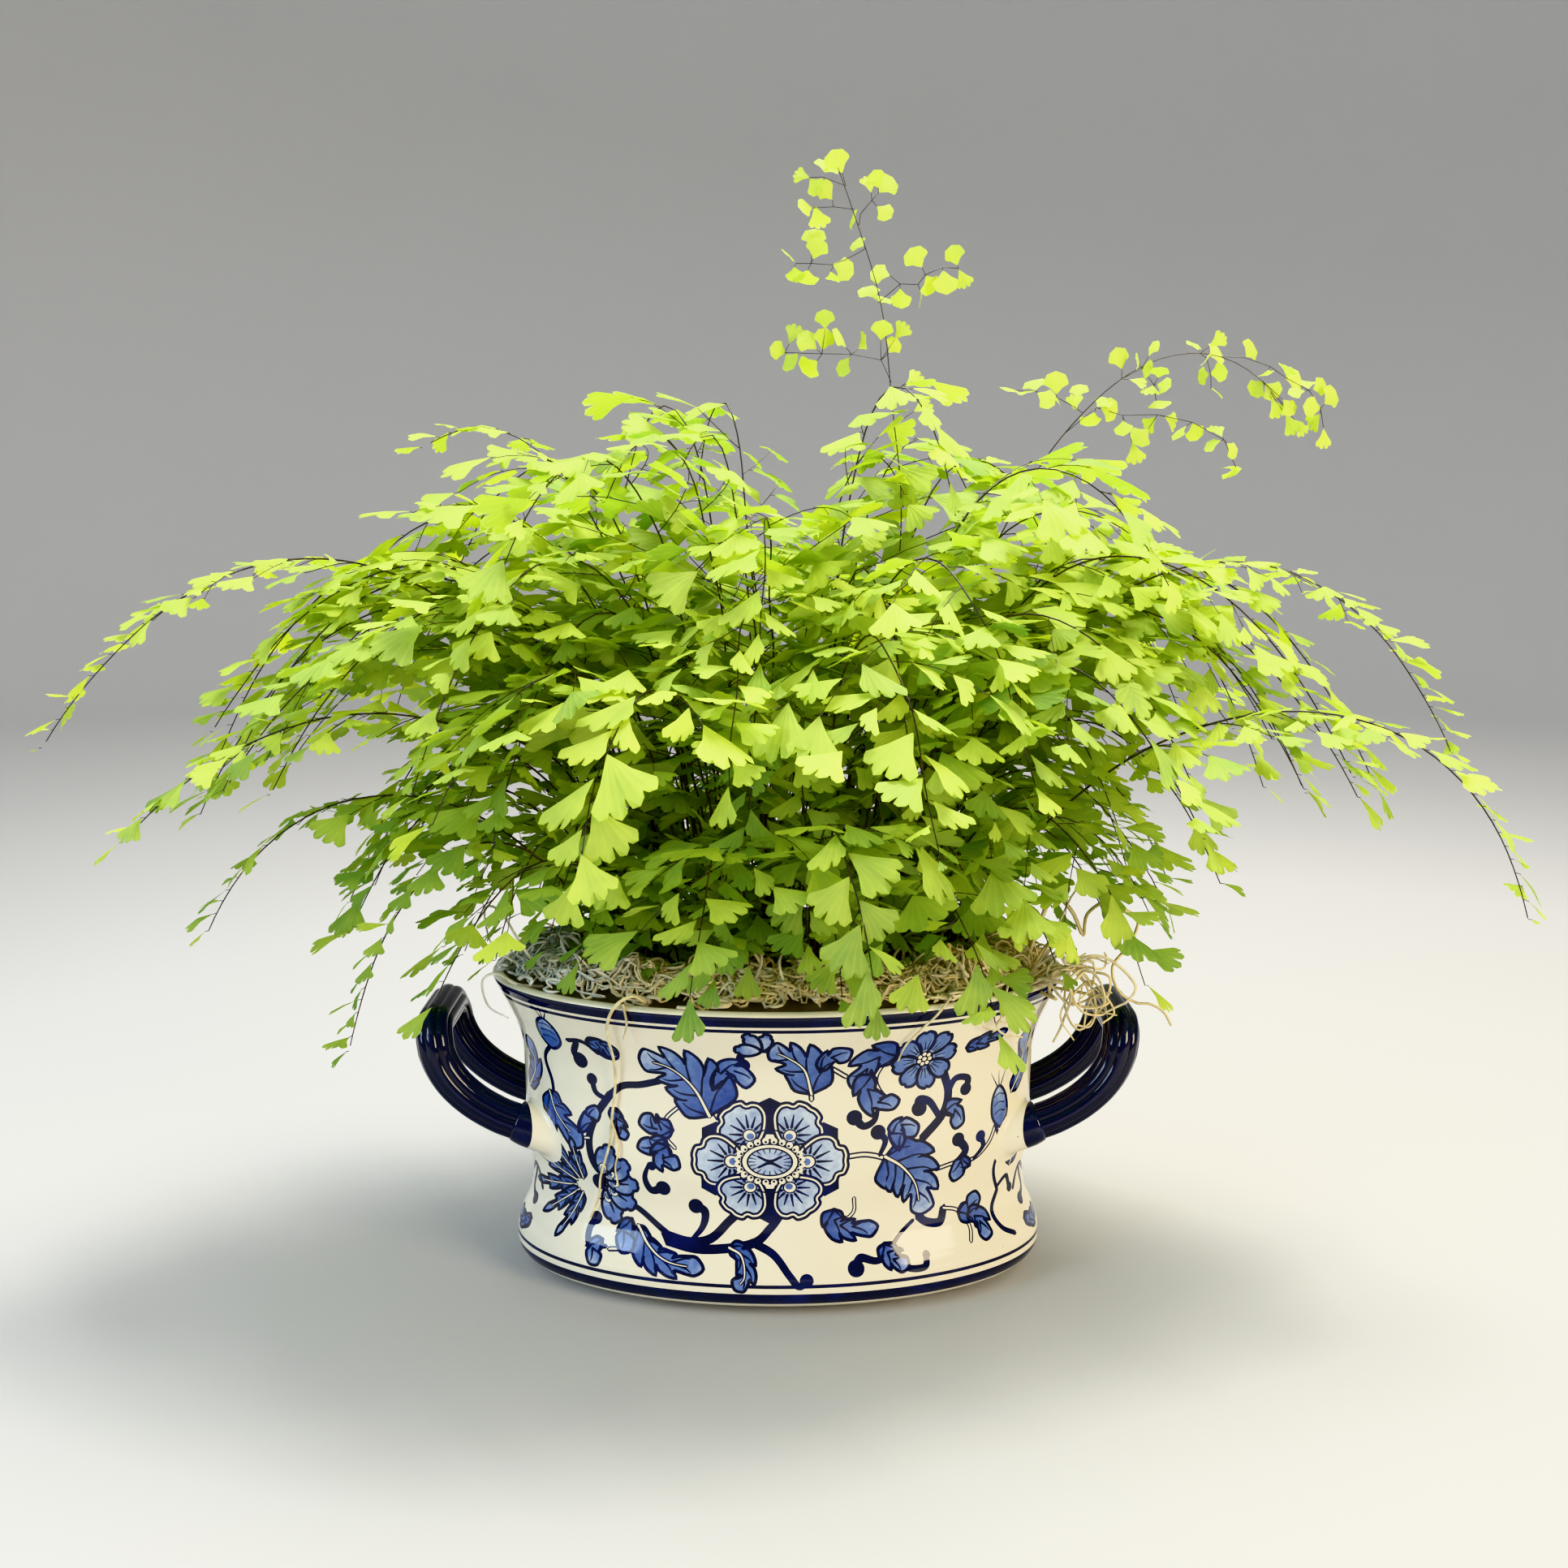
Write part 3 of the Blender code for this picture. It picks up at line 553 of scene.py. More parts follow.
def keep(name, mesh, node_names):
    """Links a finished mesh, which rides on the body and stands for its CAD nodes, if any."""
    piece = linked(name, mesh)
    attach(piece, "root")
    if node_names:
        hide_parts(*node_names)


def mesh_of(name, points, faces, materials=(), smooth_angle=None, scale=MM, edges=()):
    """A mesh from points in millimetres, or in the unit that scale gives."""
    mesh = bpy.data.meshes.new(name)
    mesh.from_pydata([tuple(c * scale for c in p) for p in points], edges, faces)
    mesh.update()
    for material in materials:
        mesh.materials.append(material)
    if smooth_angle:
        mesh.shade_smooth()
        mesh.set_sharp_from_angle(angle=math.radians(smooth_angle))
    return mesh


def attribute_of(mesh, name, kind, values):
    made = mesh.attributes.new(name, kind, "POINT")
    made.data.foreach_set("vector" if kind == "FLOAT_VECTOR" else "value", np.ravel(values))


def lofted_mesh(name, rows, material, smooth_angle, closed=False):
    """A mesh that joins rows of points."""
    points = [p for row in rows for p in row]
    return mesh_of(name, points, lofted(rows, closed), [material], smooth_angle)


def spaced(sides):
    """Angles spaced evenly round a full turn."""
    return [FULL_TURN * i / sides for i in range(sides)]


def round_rows(centre, section, sides):
    """Rings round an upright axis, one for each height and radius of a section."""
    return [[(centre.x + reach * math.cos(a), centre.y + reach * math.sin(a), z)
             for a in spaced(sides)] for z, reach in section]


def lofted(rows, closed=False, start=0):
    """Faces that join rings of points in order, with flat ends unless the rows close."""
    sides = len(rows[0])
    faces = []
    for i in range(len(rows) - (0 if closed else 1)):
        low, high = start + i * sides, start + (i + 1) % len(rows) * sides
        for j in range(sides):
            k = (j + 1) % sides
            faces.append((low + j, low + k, high + k, high + j))
    if not closed:
        last = start + (len(rows) - 1) * sides
        faces.append(tuple(reversed(range(start, start + sides))))
        faces.append(tuple(range(last, last + sides)))
    return faces


def flare(z):
    """How far the outside lies from the plan oval at height z, rounded through the CAD's rows."""
    heights, outs = np.array(OUTSIDE, float).T
    slopes = np.gradient(outs, heights)
    z = np.clip(z, heights[0], heights[-1])
    i = np.clip(np.searchsorted(heights, z, side="right") - 1, 0, len(heights) - 2)
    step = heights[i + 1] - heights[i]
    t = (z - heights[i]) / step
    return ((2 * t ** 3 - 3 * t ** 2 + 1) * outs[i] + (t ** 3 - 2 * t ** 2 + t) * step * slopes[i]
            + (3 * t ** 2 - 2 * t ** 3) * outs[i + 1] + (t ** 3 - t ** 2) * step * slopes[i + 1])


def arc_table(samples=4000):
    """Angles round the front half of the oval and their distance along it from the front."""
    turns = np.linspace(-math.pi, 0, samples + 1)
    x, y = HALF_LENGTH * np.cos(turns), HALF_DEPTH * np.sin(turns)
    arc = np.concatenate([[0], np.cumsum(np.hypot(np.diff(x), np.diff(y)))])
    return turns, arc - arc[samples // 2]


TURNS, ARC = arc_table()
QUARTER = float(ARC[-1])


def on_oval(turn, out, z):
    """Points at angles round the plan oval, at a distance out from it and a height."""
    return np.stack([(HALF_LENGTH + out) * np.cos(turn), (HALF_DEPTH + out) * np.sin(turn),
                     z + 0 * turn], axis=-1)


def on_wall(across, z, gap=0.0):
    """The point of the outside wall at a distance round it from the front, and a height."""
    return on_oval(np.interp(across, ARC, TURNS), flare(z) + gap, z)


def inner_out(z):
    """How far the inside of the wall lies from the plan oval at height z."""
    return float(flare(z)) - WALL


def wall_normals(points):
    """Directions straight out of the rounded wall at its points."""
    z = points[:, 2]
    out = flare(z)
    turn = np.arctan2(points[:, 1] / (HALF_DEPTH + out), points[:, 0] / (HALF_LENGTH + out))
    slope = (flare(z + 0.2) - flare(z - 0.2)) / 0.4
    round_it = np.stack([-(HALF_LENGTH + out) * np.sin(turn), (HALF_DEPTH + out) * np.cos(turn),
                         0 * z], axis=-1)
    up_it = np.stack([slope * np.cos(turn), slope * np.sin(turn), 1 + 0 * z], axis=-1)
    normals = np.cross(round_it, up_it)
    return normals / np.linalg.norm(normals, axis=1)[:, None]


BOSS_CREAM = 6          # rows of a boss that are cream, from the wall outwards
# Paints, which are also the planter's material slots
CREAM, LINE, WASH = range(3)
# One tooth of a painted leaf: share of its part of the edge, how far out, how far ahead
TOOTH = [(0.25, 0.82, 0), (0.65, 1, 0.10), (0.95, 0.98, 0.34)]
TOOTH_SPARE = 0.35      # the plain end of a leaf, in teeth
# Half a petal's outline: share of its length and of its width
PETAL = [(0.02, 0.07), (0.16, 0.30), (0.42, 0.50), (0.66, 0.52), (0.80, 0.42), (0.84, 0.31),
         (0.95, 0.27), (1.01, 0.12)]


def rounded(points, per_span=7, closed=False):
    """A smooth line through points given as complex numbers."""
    p = [complex(v) for v in points]
    ahead = p[1:] + (p[:1] if closed else [])
    line = []
    for i, (a, b) in enumerate(zip(p, ahead)):
        before = p[i - 1] if i or closed else 2 * a - b
        after = (p + p)[i + 2] if closed or i + 2 < len(p) else 2 * b - a
        for step in range(per_span):
            t = step / per_span
            line.append(0.5 * (2 * a + (b - before) * t
                               + (2 * before - 5 * a + 4 * b - after) * t * t
                               + (3 * a - before - 3 * b + after) * t ** 3))
    if not closed:
        line.append(p[-1])
    return np.array(line)


def unit(degrees):
    """A step of length 1 on the unrolled wall."""
    return complex(math.cos(math.radians(degrees)), math.sin(math.radians(degrees)))


def circle(centre, radius, squash=1.0, sides=24, first=0.0):
    turns = FULL_TURN * (np.arange(sides) + first) / sides
    return centre + radius * (np.cos(turns) + 1j * squash * np.sin(turns))


def grown(outline, distance):
    """A closed outline moved outwards, or inwards for a negative distance."""
    turned = (np.roll(outline, -1) - outline) * 1j
    turned /= np.abs(turned) + 1e-9
    normal = -(turned + np.roll(turned, 1))
    sharp = np.clip(np.abs(normal) ** 2 / 2, 0.5, 2)
    return outline + distance * normal / sharp


def positive(outline):
    """The outline, turned round if it runs clockwise."""
    nxt = np.roll(outline, -1)
    area = np.sum(outline.real * nxt.imag - nxt.real * outline.imag)
    return outline if area > 0 else outline[::-1]


def inside(points, outline):
    """Which points lie inside a closed outline that runs anticlockwise."""
    winding = np.zeros(len(points), int)
    for a, b in zip(outline, np.roll(outline, -1)):
        left = ((b.real - a.real) * (points.imag - a.imag)
                - (points.real - a.real) * (b.imag - a.imag))
        winding += (a.imag <= points.imag) & (b.imag > points.imag) & (left > 0)
        winding -= (a.imag > points.imag) & (b.imag <= points.imag) & (left < 0)
    return winding > 0


class Painting:
    """Filled outlines on the unrolled wall, in millimetres, the later ones over the earlier."""

    def __init__(self, line_width):
        self.shapes = []
        self.line = line_width

    def fill(self, outline, paint, fade=None):
        """fade is (place, place, depth of wash at the first, at the second)."""
        self.shapes.append((positive(np.asarray(outline)), paint, fade))

    def outlined(self, outline, fade):
        outline = positive(outline)
        self.fill(grown(outline, 0.5 * self.line), LINE)
        self.fill(grown(outline, -0.5 * self.line), WASH, fade)

    def stroke(self, line, widths, paint=LINE):
        """A brush stroke along a line, its width running evenly through the widths given."""
        line = np.asarray(line)
        ahead = np.gradient(line)
        ahead /= np.abs(ahead) + 1e-9
        share = np.linspace(0, 1, len(line))
        half = np.interp(share, np.linspace(0, 1, len(widths)), widths) / 2
        tip = line[-1] + ahead[-1] * half[-1]
        tail = line[0] - ahead[0] * half[0]
        right, left = line - 1j * ahead * half, line + 1j * ahead * half
        self.fill(np.concatenate([right, [tip], left[::-1], [tail]]), paint)

    def hook(self, points, widths, bulb):
        """A tapering curl that ends in a round drop."""
        self.stroke(rounded(points), [1.15 * w for w in widths])
        self.fill(circle(complex(points[-1]), 1.18 * bulb, sides=18), LINE)

    def stem(self, points, width, core=0.0):
        line = rounded(points)
        self.stroke(line, [1.1 * width])
        if core:
            self.stroke(line, [core], CREAM)

    def leaf(self, spine, left, right, depth=(0.9, 0.4), rib=0):
        """A toothed leaf round a bent midrib. left and right say how far each tooth stands out."""
        line = rounded(spine, 10)
        marks = np.linspace(0, 1, len(line))
        ahead = np.gradient(line)
        ahead /= np.abs(ahead)

        def at(share):
            return (np.interp(share, marks, way.real) + 1j * np.interp(share, marks, way.imag)
                    for way in (line, ahead))

        sides, teeth = [], []
        for widths, hand in ((left, 1j), (right, -1j)):
            count = len(widths) + TOOTH_SPARE
            edge = []
            for k, reach in enumerate(widths):
                share = (k + 0.05) / count
                root, way = at(share)
                edge.append(root + hand * way * (0.5 * (widths[k - 1] if k else 0.25 * reach)))
                for late, out, on in TOOTH:
                    place, way = at(share + late * (1 / count))
                    edge.append(place + hand * way * out * reach + on * reach * way)
                teeth.append((root, edge[-1]))
            sides.append(edge)
        outline = [line[0]] + sides[1] + [line[-1] + 1.5 * ahead[-1]] + sides[0][::-1]
        self.outlined(rounded(outline, 3, closed=True), (line[0], line[-1], *depth))
        for root, tip in teeth:
            bend = root + (tip - root) * (0.5 + 0.06j)
            self.stroke(rounded([root, bend, root + (tip - root) * 0.78], 4), [1.5, 0.5])
        if rib:
            self.stroke(line[:-4], [rib + 1.3, rib + 0.6])
            self.stroke(line[:-4], [rib, 0.4], CREAM)

    def petal(self, base, tip, width, depth=(0.36, 0.02), veins=9, frill=True):
        """A petal with a scalloped end, an eye at its base and short veins round the eye."""
        way = tip - base
        size = abs(way)
        profile = [complex(a, b * width / size) for a, b in PETAL]
        profile += [1.0] + [p.conjugate() for p in reversed(profile)]
        outline = positive(base + way * rounded(profile, 4, closed=True))
        if frill:
            for outwards, paint in ((0.9, LINE), (-0.7, CREAM), (-1.7, LINE)):
                self.fill(grown(outline, outwards), paint)
            self.fill(grown(outline, -3.0), WASH, (base, tip, *depth))
        else:
            self.outlined(outline, (base, tip, *depth))
        if not veins:
            return
        eye = base + 0.27 * way
        for i in range(veins):
            share = i / (veins - 1)
            turn = way / size * np.exp(1j * math.radians(-105 + 210 * share))
            reach = np.array([0.17, 0.32 + 0.13 * math.sin(math.pi * share)]) * size
            self.stroke(eye + turn * reach, [1.7, 0.7])
        self.fill(circle(eye, 0.150 * size, 0.92), LINE)
        self.fill(circle(eye, 0.118 * size, 0.92), CREAM)
        self.fill(circle(eye - 0.03 * way, 0.078 * size, 0.9), WASH, (eye, base, 0.55, 1.0))

    def lotus(self, centre, size, squash):
        """The six-petalled flower in the middle of the scroll."""
        def spot(degrees, radius):
            step = unit(degrees)
            return centre + size * radius * complex(step.real, squash * step.imag)

        for degrees in (30, 90, 150, 207, 270, 333):
            self.fill([spot(degrees + turn, radius) for turn, radius in
                       ((-16, 0.45), (-12, 0.92), (0, 1.01), (12, 0.92), (16, 0.45))], LINE)
        for degrees in (122, 58, 180, 0, 238, 302):
            self.petal(spot(degrees, 0.30), spot(degrees, 1.0), 0.68 * size)
        self.fill(circle(centre, 0.455 * size, 0.80 * squash, 40), LINE)
        for bead in circle(centre, 0.415 * size, 0.80 * squash, 24, first=0.5):
            self.fill(circle(bead, 0.043 * size, sides=10), CREAM)
            self.fill(circle(bead + (centre - bead) * 0.05, 0.018 * size, sides=8), LINE)
        for radius, paint in ((0.375, LINE), (0.352, CREAM), (0.300, LINE)):
            self.fill(circle(centre, radius * size, 0.76 * squash, 36), paint)
        self.fill(circle(centre, 0.275 * size, 0.74 * squash, 36), WASH,
                  (centre, centre + 0.28 * size, 0.15, 0.35))
        for ray in circle(0, size, 0.74 * squash, 20):
            self.stroke(centre + ray * np.array([0.27, 0.185]), [0.75, 0.35])
        for flip in (1j, -1j):
            cross = rounded([-0.15 + 0.075 * flip, 0.012 * flip, 0.15 + 0.075 * flip])
            self.stroke(centre + size * cross, [1.3, 1.8, 1.3])

    def daisy(self, centre, radius, petals=8, turn=0.2):
        for i in range(petals):
            way = radius * np.exp(1j * (FULL_TURN * i / petals + turn))
            half = [0.18 - 0.05j, 0.55 - 0.26j, 0.85 - 0.27j, 1.0 - 0.10j]
            shape = half + [0.96] + [p.conjugate() for p in reversed(half)]
            self.outlined(centre + way * rounded(shape, 3, closed=True),
                          (centre, centre + way, 0.30, 0.62))
            for bend in (-0.16, 0.0, 0.16):
                vein = np.array([0.34 + 0.4j * bend, 0.66 + 1j * bend])
                self.stroke(centre + way * vein, [0.8, 0.35])
        self.fill(circle(centre, 0.27 * radius), LINE)
        for bead in circle(centre, 0.17 * radius, sides=7):
            self.fill(circle(bead, 0.062 * radius, sides=8), CREAM)
        self.fill(circle(centre, 0.07 * radius, sides=8), CREAM)

    def bud(self, base, tip, width):
        """A striped bud with a small crown of spikes."""
        way = tip - base
        side = 1j * width
        for lean in (-0.25j, 0.0, 0.25j):
            self.stroke(base + way * np.array([0.9, 1.38 + lean]), [1.2, 0.3])
        half = [0.3 - 0.5 * side, 0.75 - 0.42 * side]
        shape = [0] + half + [1.0] + [p.conjugate() for p in reversed(half)]
        self.outlined(base + way * rounded(shape, 4, closed=True), (base, tip, 0.85, 0.2))
        for share in (0.35, 0.55, 0.75):
            bar = np.array([share - 0.34 * side, share + 0.06, share + 0.34 * side])
            self.stroke(rounded(base + way * bar, 3), [0.7])


def paint_scroll(painting):
    """The scroll on one side of the planter: distances round the wall and heights."""
    p = painting
    # Stems, from the thick ones at the left end to the curls at the right end
    p.stem([-92 + 120j, -101 + 107j, -106 + 93j, -104 + 79j, -96 + 70j], 4.2)
    p.stem([-92 + 120j, -84 + 126j, -73 + 128j, -60 + 132j], 3.6)
    p.hook([-95 + 117j, -101 + 120j, -103 + 127j], [2.5, 3.2], 2.9)
    p.stem([-96 + 70j, -88 + 60j, -78 + 56j, -66 + 48j, -58 + 43j], 3.0)
    p.stem([-62 + 44j, -48 + 41.5j, -36 + 44j, -26 + 54j, -19 + 60j], 4.4)
    p.stem([-60 + 41j, -40 + 38.5j, -14 + 42j, -4 + 50j, 2 + 58j], 4.2)
    p.hook([-14 + 43j, -2 + 37j, 6 + 27j, 11 + 21j, 15 + 24j], [3.6, 3.4, 3.8], 3.1)
    p.hook([-47 + 42j, -41 + 50j, -40 + 58j, -45 + 61j], [2.0, 3.8, 4.8], 3.6)
    p.hook([-70 + 84j, -73 + 75j, -70 + 68j, -63 + 70j], [1.5, 3.4, 4.4], 3.6)
    p.fill(circle(-68.5 + 82.5j, 2.6, sides=14), LINE)
    p.stem([18 + 123j, 18 + 133j, 25 + 141.5j, 36 + 135.5j], 2.9, 1.2)
    p.hook([2 + 150j, -8 + 152.5j, -18 + 149j, -18 + 143j], [1.6, 3.4, 4.2], 3.6)
    p.stem([63 + 148j, 55 + 141j, 52 + 132j, 57 + 123j, 64 + 121j], 2.6, 1.1)
    p.hook([54 + 118j, 52 + 110j, 46 + 107j, 41 + 112j], [1.8, 3.4, 4.4], 3.7)
    p.stem([90 + 134j, 94 + 121j, 91 + 109j, 79 + 97j], 4.6)
    p.hook([93 + 119j, 98 + 128j, 106 + 127j, 105 + 121j], [3.2, 3.4, 3.8], 3.1)
    p.hook([89 + 108j, 83 + 117j, 77 + 119j, 77 + 114j], [3.2, 4.0, 4.6], 3.8)
    p.stem([37 + 90.5j, 48 + 91j, 60 + 87j, 68 + 80j], 3.2, 1.5)
    p.hook([55 + 90j, 58 + 98j, 54 + 103j], [2.0, 4.0], 3.6)
    p.stem([79 + 52j, 84 + 48j, 92 + 47j, 95 + 54j], 4.4)
    p.stem([88 + 78j, 100 + 80j, 112 + 80j, 122 + 87j, 127 + 96j], 2.8, 1.0)
    p.hook([100 + 79j, 106 + 86j, 101 + 93j], [3.8, 4.6], 3.4)
    p.hook([112 + 80j, 118 + 86j, 116 + 92j], [1.8, 3.6], 2.9)
    p.stem([95 + 54j, 104 + 51j, 110 + 42j, 108 + 34j], 2.4, 1.0)
    p.stem([42 + 66j, 42 + 58j, 36 + 54j, 31 + 60j], 2.2, 0.9)
    p.stem([76 + 50j, 68 + 44j, 62 + 38j, 60 + 32j], 2.0)
    p.hook([60 + 34j, 52 + 32j, 44 + 34j, 41 + 29j], [2.4, 3.6, 4.4], 3.8)
    p.hook([62 + 34j, 68 + 27j, 78 + 26j, 80 + 32j], [2.4, 3.4, 3.0], 2.0)
    p.stem([-31 + 112j, -37 + 121j, -43 + 132j, -50 + 141j], 3.2, 1.4)
    p.stem([-52 + 118j, -60 + 110j, -61 + 101j, -55 + 94j], 2.4, 1.0)
    p.stem([-92 + 33j, -84 + 35j, -76 + 42j], 2.6, 1.0)
    p.hook([-94 + 34j, -104 + 33j, -107 + 41j, -104 + 47j], [2.2, 3.4, 4.0], 3.1)
    p.stem([127 + 96j, 131 + 84j, 129 + 70j, 134 + 56j], 2.2)
    p.stem([134 + 56j, 128 + 46j, 131 + 36j, 140 + 30j], 2.6)
    p.hook([134 + 58j, 142 + 62j, 146 + 54j], [2.0, 3.0], 2.4)
    p.stem([-114 + 148j, -104 + 149j, -96 + 143j], 2.4)
    p.stem([-106 + 93j, -116 + 92j, -124 + 98j], 2.2, 0.9)
    # Leaves
    p.leaf([-36 + 113j, -44 + 128j, -56 + 139j, -71 + 143j], [13, 12, 10, 6],
           [20, 19, 15, 11, 7], (0.95, 0.2), 1.5)
    p.leaf([-34 + 128j, -29 + 138j, -21 + 139j, -17 + 131j], [3, 7, 6], [4, 3])
    p.leaf([18 + 126j, 14 + 140j, 5 + 148j, -3 + 152j], [10, 9, 5], [13, 13, 9, 6],
           (0.85, 0.35), 1.2)
    p.leaf([22 + 139j, 28 + 148j, 35 + 146j], [5, 6], [3, 3])
    p.leaf([62 + 146j, 52 + 146j, 46 + 138j, 40 + 130j], [6, 5, 4], [9, 10, 5])
    p.leaf([50 + 136j, 48 + 127j, 55 + 119j, 64 + 120j], [4, 5, 4], [8, 8, 4])
    p.leaf([92 + 110j, 99 + 110j, 99 + 101j], [6, 5], [3, 3], (0.7, 0.4), 0)
    p.leaf([58 + 89j, 68 + 82j, 77 + 70j, 81 + 54j], [15, 18, 15, 12, 8], [15, 14, 12, 9, 5],
           (0.95, 0.2), 1.5)
    p.leaf([66 + 92j, 62 + 102j, 68 + 106j, 74 + 100j], [2, 4, 5], [6, 7, 4])
    p.leaf([31 + 60j, 32 + 52j, 40 + 50j, 54 + 49j], [5, 5, 4, 3], [7, 8, 7, 5])
    p.leaf([104 + 50j, 112 + 50j, 116 + 58j], [5, 4], [6, 5])
    p.leaf([110 + 47j, 117 + 44j, 118 + 34j], [6, 7, 5], [3, 4, 3])
    p.leaf([58 + 40j, 60 + 33j, 68 + 28j], [6, 7, 4], [5, 5, 4])
    p.leaf([-78 + 47j, -70 + 38j, -58 + 31j, -40 + 29j], [3, 4, 5, 5], [9, 10, 9, 7, 4],
           (0.8, 0.4), 1.3)
    p.leaf([-82 + 50j, -86 + 42j, -80 + 35j], [5, 4], [4, 5])
    p.leaf([-26 + 40j, -19 + 36j, -17 + 26j, -21 + 20j], [5, 6, 6, 4], [3, 4, 4], (0.9, 0.45), 1.0)
    p.leaf([-56 + 104j, -66 + 104j, -72 + 110j], [5, 5], [6, 7, 4])
    p.leaf([-60 + 99j, -68 + 93j, -73 + 96j], [6, 5], [5, 4])
    p.leaf([-59 + 95j, -62 + 87j, -54 + 84j], [4, 5], [7, 6, 3])
    p.leaf([-97 + 37j, -102 + 31j, -98 + 25j], [4, 4], [4, 4], (0.6, 0.3), 0)
    p.leaf([-92 + 112j, -87 + 104j, -84 + 97j], [4, 4, 3], [3, 4, 3])
    p.leaf([-101 + 150j, -92 + 149j, -86 + 143j], [3, 4], [5, 6, 4])
    p.hook([-96 + 143j, -90 + 141j, -86 + 145j], [1.4, 2.0], 1.6)
    p.hook([-108 + 148j, -112 + 141j, -109 + 137j], [3.0, 4.4], 4.0)
    p.stem([-120 + 148j, -136 + 134j, -132 + 120j, -131 + 107j], 2.4)
    p.leaf([-135 + 114j, -129 + 102j, -112 + 88j], [7, 9, 6], [9, 10, 6], (0.95, 0.5), 1.0)
    p.leaf([-113 + 95j, -106 + 106j, -100 + 108j], [3, 4], [4, 4])
    for degrees, size in ((105, 26), (135, 36), (163, 40), (190, 44), (215, 38), (243, 34)):
        spine = [-112 + 64j + share * size * unit(degrees) for share in (0.15, 0.6, 1.0)]
        p.leaf(spine, [4, 4, 2], [4, 4, 2], (0.85, 0.3), 0.8)
    p.leaf([144 + 68j, 146 + 80j, 142 + 94j], [6, 7, 4], [5, 6, 4], (0.9, 0.5), 0.8)
    p.leaf([110 + 76j, 103 + 80j, 101 + 70j], [4, 5], [3, 4])
    p.leaf([101 + 146j, 111 + 148j, 124 + 151j], [4, 5, 3], [4, 5, 3], (0.95, 0.6), 0)
    # Flowers and buds
    for degrees in (-62, -28, 4, 36, 68):
        base, tip = (-102 + 68j + reach * unit(degrees) for reach in (5, 24))
        p.petal(base, tip, 12, (0.2, 0.6), 3, frill=False)
    p.fill(circle(-102 + 68j, 4.6), LINE)
    for degrees in (60, 120, 180):
        tip = -10 + 153j + 11 * unit(degrees)
        p.petal(-8 + 152j, tip, 7, (0.1, 0.5), 0, frill=False)
    p.lotus(-4 + 88.5j, 41.5, 0.86)
    p.daisy(77.5 + 142.5j, 17.5)
    p.bud(131 + 94j, 129 + 118j, 0.5)
    p.leaf([140 + 112j, 150 + 126j, 146 + 146j], [5, 6, 5], [5, 7, 5], (0.9, 0.4), 0.9)
    p.bud(-128 + 140j, -125 + 159j, 0.75)
    p.leaf([-157 + 111j, -148 + 124j, -152 + 140j], [6, 7, 5], [6, 7, 5], (0.9, 0.4), 0.9)
    # The scroll runs on past both ends of the planter
    for side in (-1, 1):
        p.stem([side * 150 + 52j, side * 158 + 64j, side * 168 + 58j], 2.6)
        p.hook([side * 158 + 62j, side * 163 + 50j, side * 157 + 44j], [2.2, 3.6], 3.0)
        p.leaf([side * 160 + 146j, side * 168 + 140j, side * 176 + 146j], [5, 6, 4], [5, 6, 4])
        p.leaf([side * 152 + 34j, side * 162 + 30j, side * 172 + 33j], [4, 5, 4], [3, 4, 3])


def painted_half(painting):
    """Corners, triangles, paints and wash depths of the unrolled front half of the wall."""
    columns = np.linspace(-QUARTER, QUARTER, HALF_COLUMNS + 1)
    edges_z = sorted({z for band in BANDS for z in band} | {PAINTED_LOW, PAINTED_HIGH})
    rows = []
    for low, high in zip(edges_z, edges_z[1:]):
        count = max(1, round((high - low) / GRID_STEP))
        rows += [low + (high - low) * i / count for i in range(count)]
    rows.append(PAINTED_HIGH)
    corners = [Vector((s, z)) for z in rows for s in columns]
    links = []
    wide = len(columns)
    for z in edges_z:
        start = rows.index(z) * wide
        links += [(start + i, start + i + 1) for i in range(wide - 1)]
    for outline, _, _ in painting.shapes:
        first = len(corners)
        corners += [Vector((v.real, v.imag)) for v in outline]
        links += [(first + i, first + (i + 1) % len(outline)) for i in range(len(outline))]
    made, _, triangles, _, _, _ = geometry.delaunay_2d_cdt(corners, links, [], 0, 1e-4, False)
    places = np.array([complex(*v) for v in made])
    triangles = np.array([t[:] for t in triangles])
    a, b, c = places[triangles].T
    turned = ((b - a).conjugate() * (c - a)).imag < 0
    triangles[turned] = triangles[turned][:, ::-1]
    middle = places[triangles].mean(axis=1)
    paints = np.zeros(len(triangles), int)
    depths = np.zeros((len(triangles), 3))
    for low, high in BANDS:
        paints[(middle.imag > low) & (middle.imag < high)] = LINE
    for outline, paint, fade in painting.shapes:
        near = ((middle.real > outline.real.min()) & (middle.real < outline.real.max())
                & (middle.imag > outline.imag.min()) & (middle.imag < outline.imag.max()))
        found = np.flatnonzero(near)
        found = found[inside(middle[found], outline)]
        paints[found] = paint
        if fade:
            a, b, depth_a, depth_b = fade
            share = ((places[triangles[found]] - a) / (b - a)).real
            depths[found] = depth_a + (depth_b - depth_a) * np.clip(share, 0, 1)
    return places, triangles, paints, depths


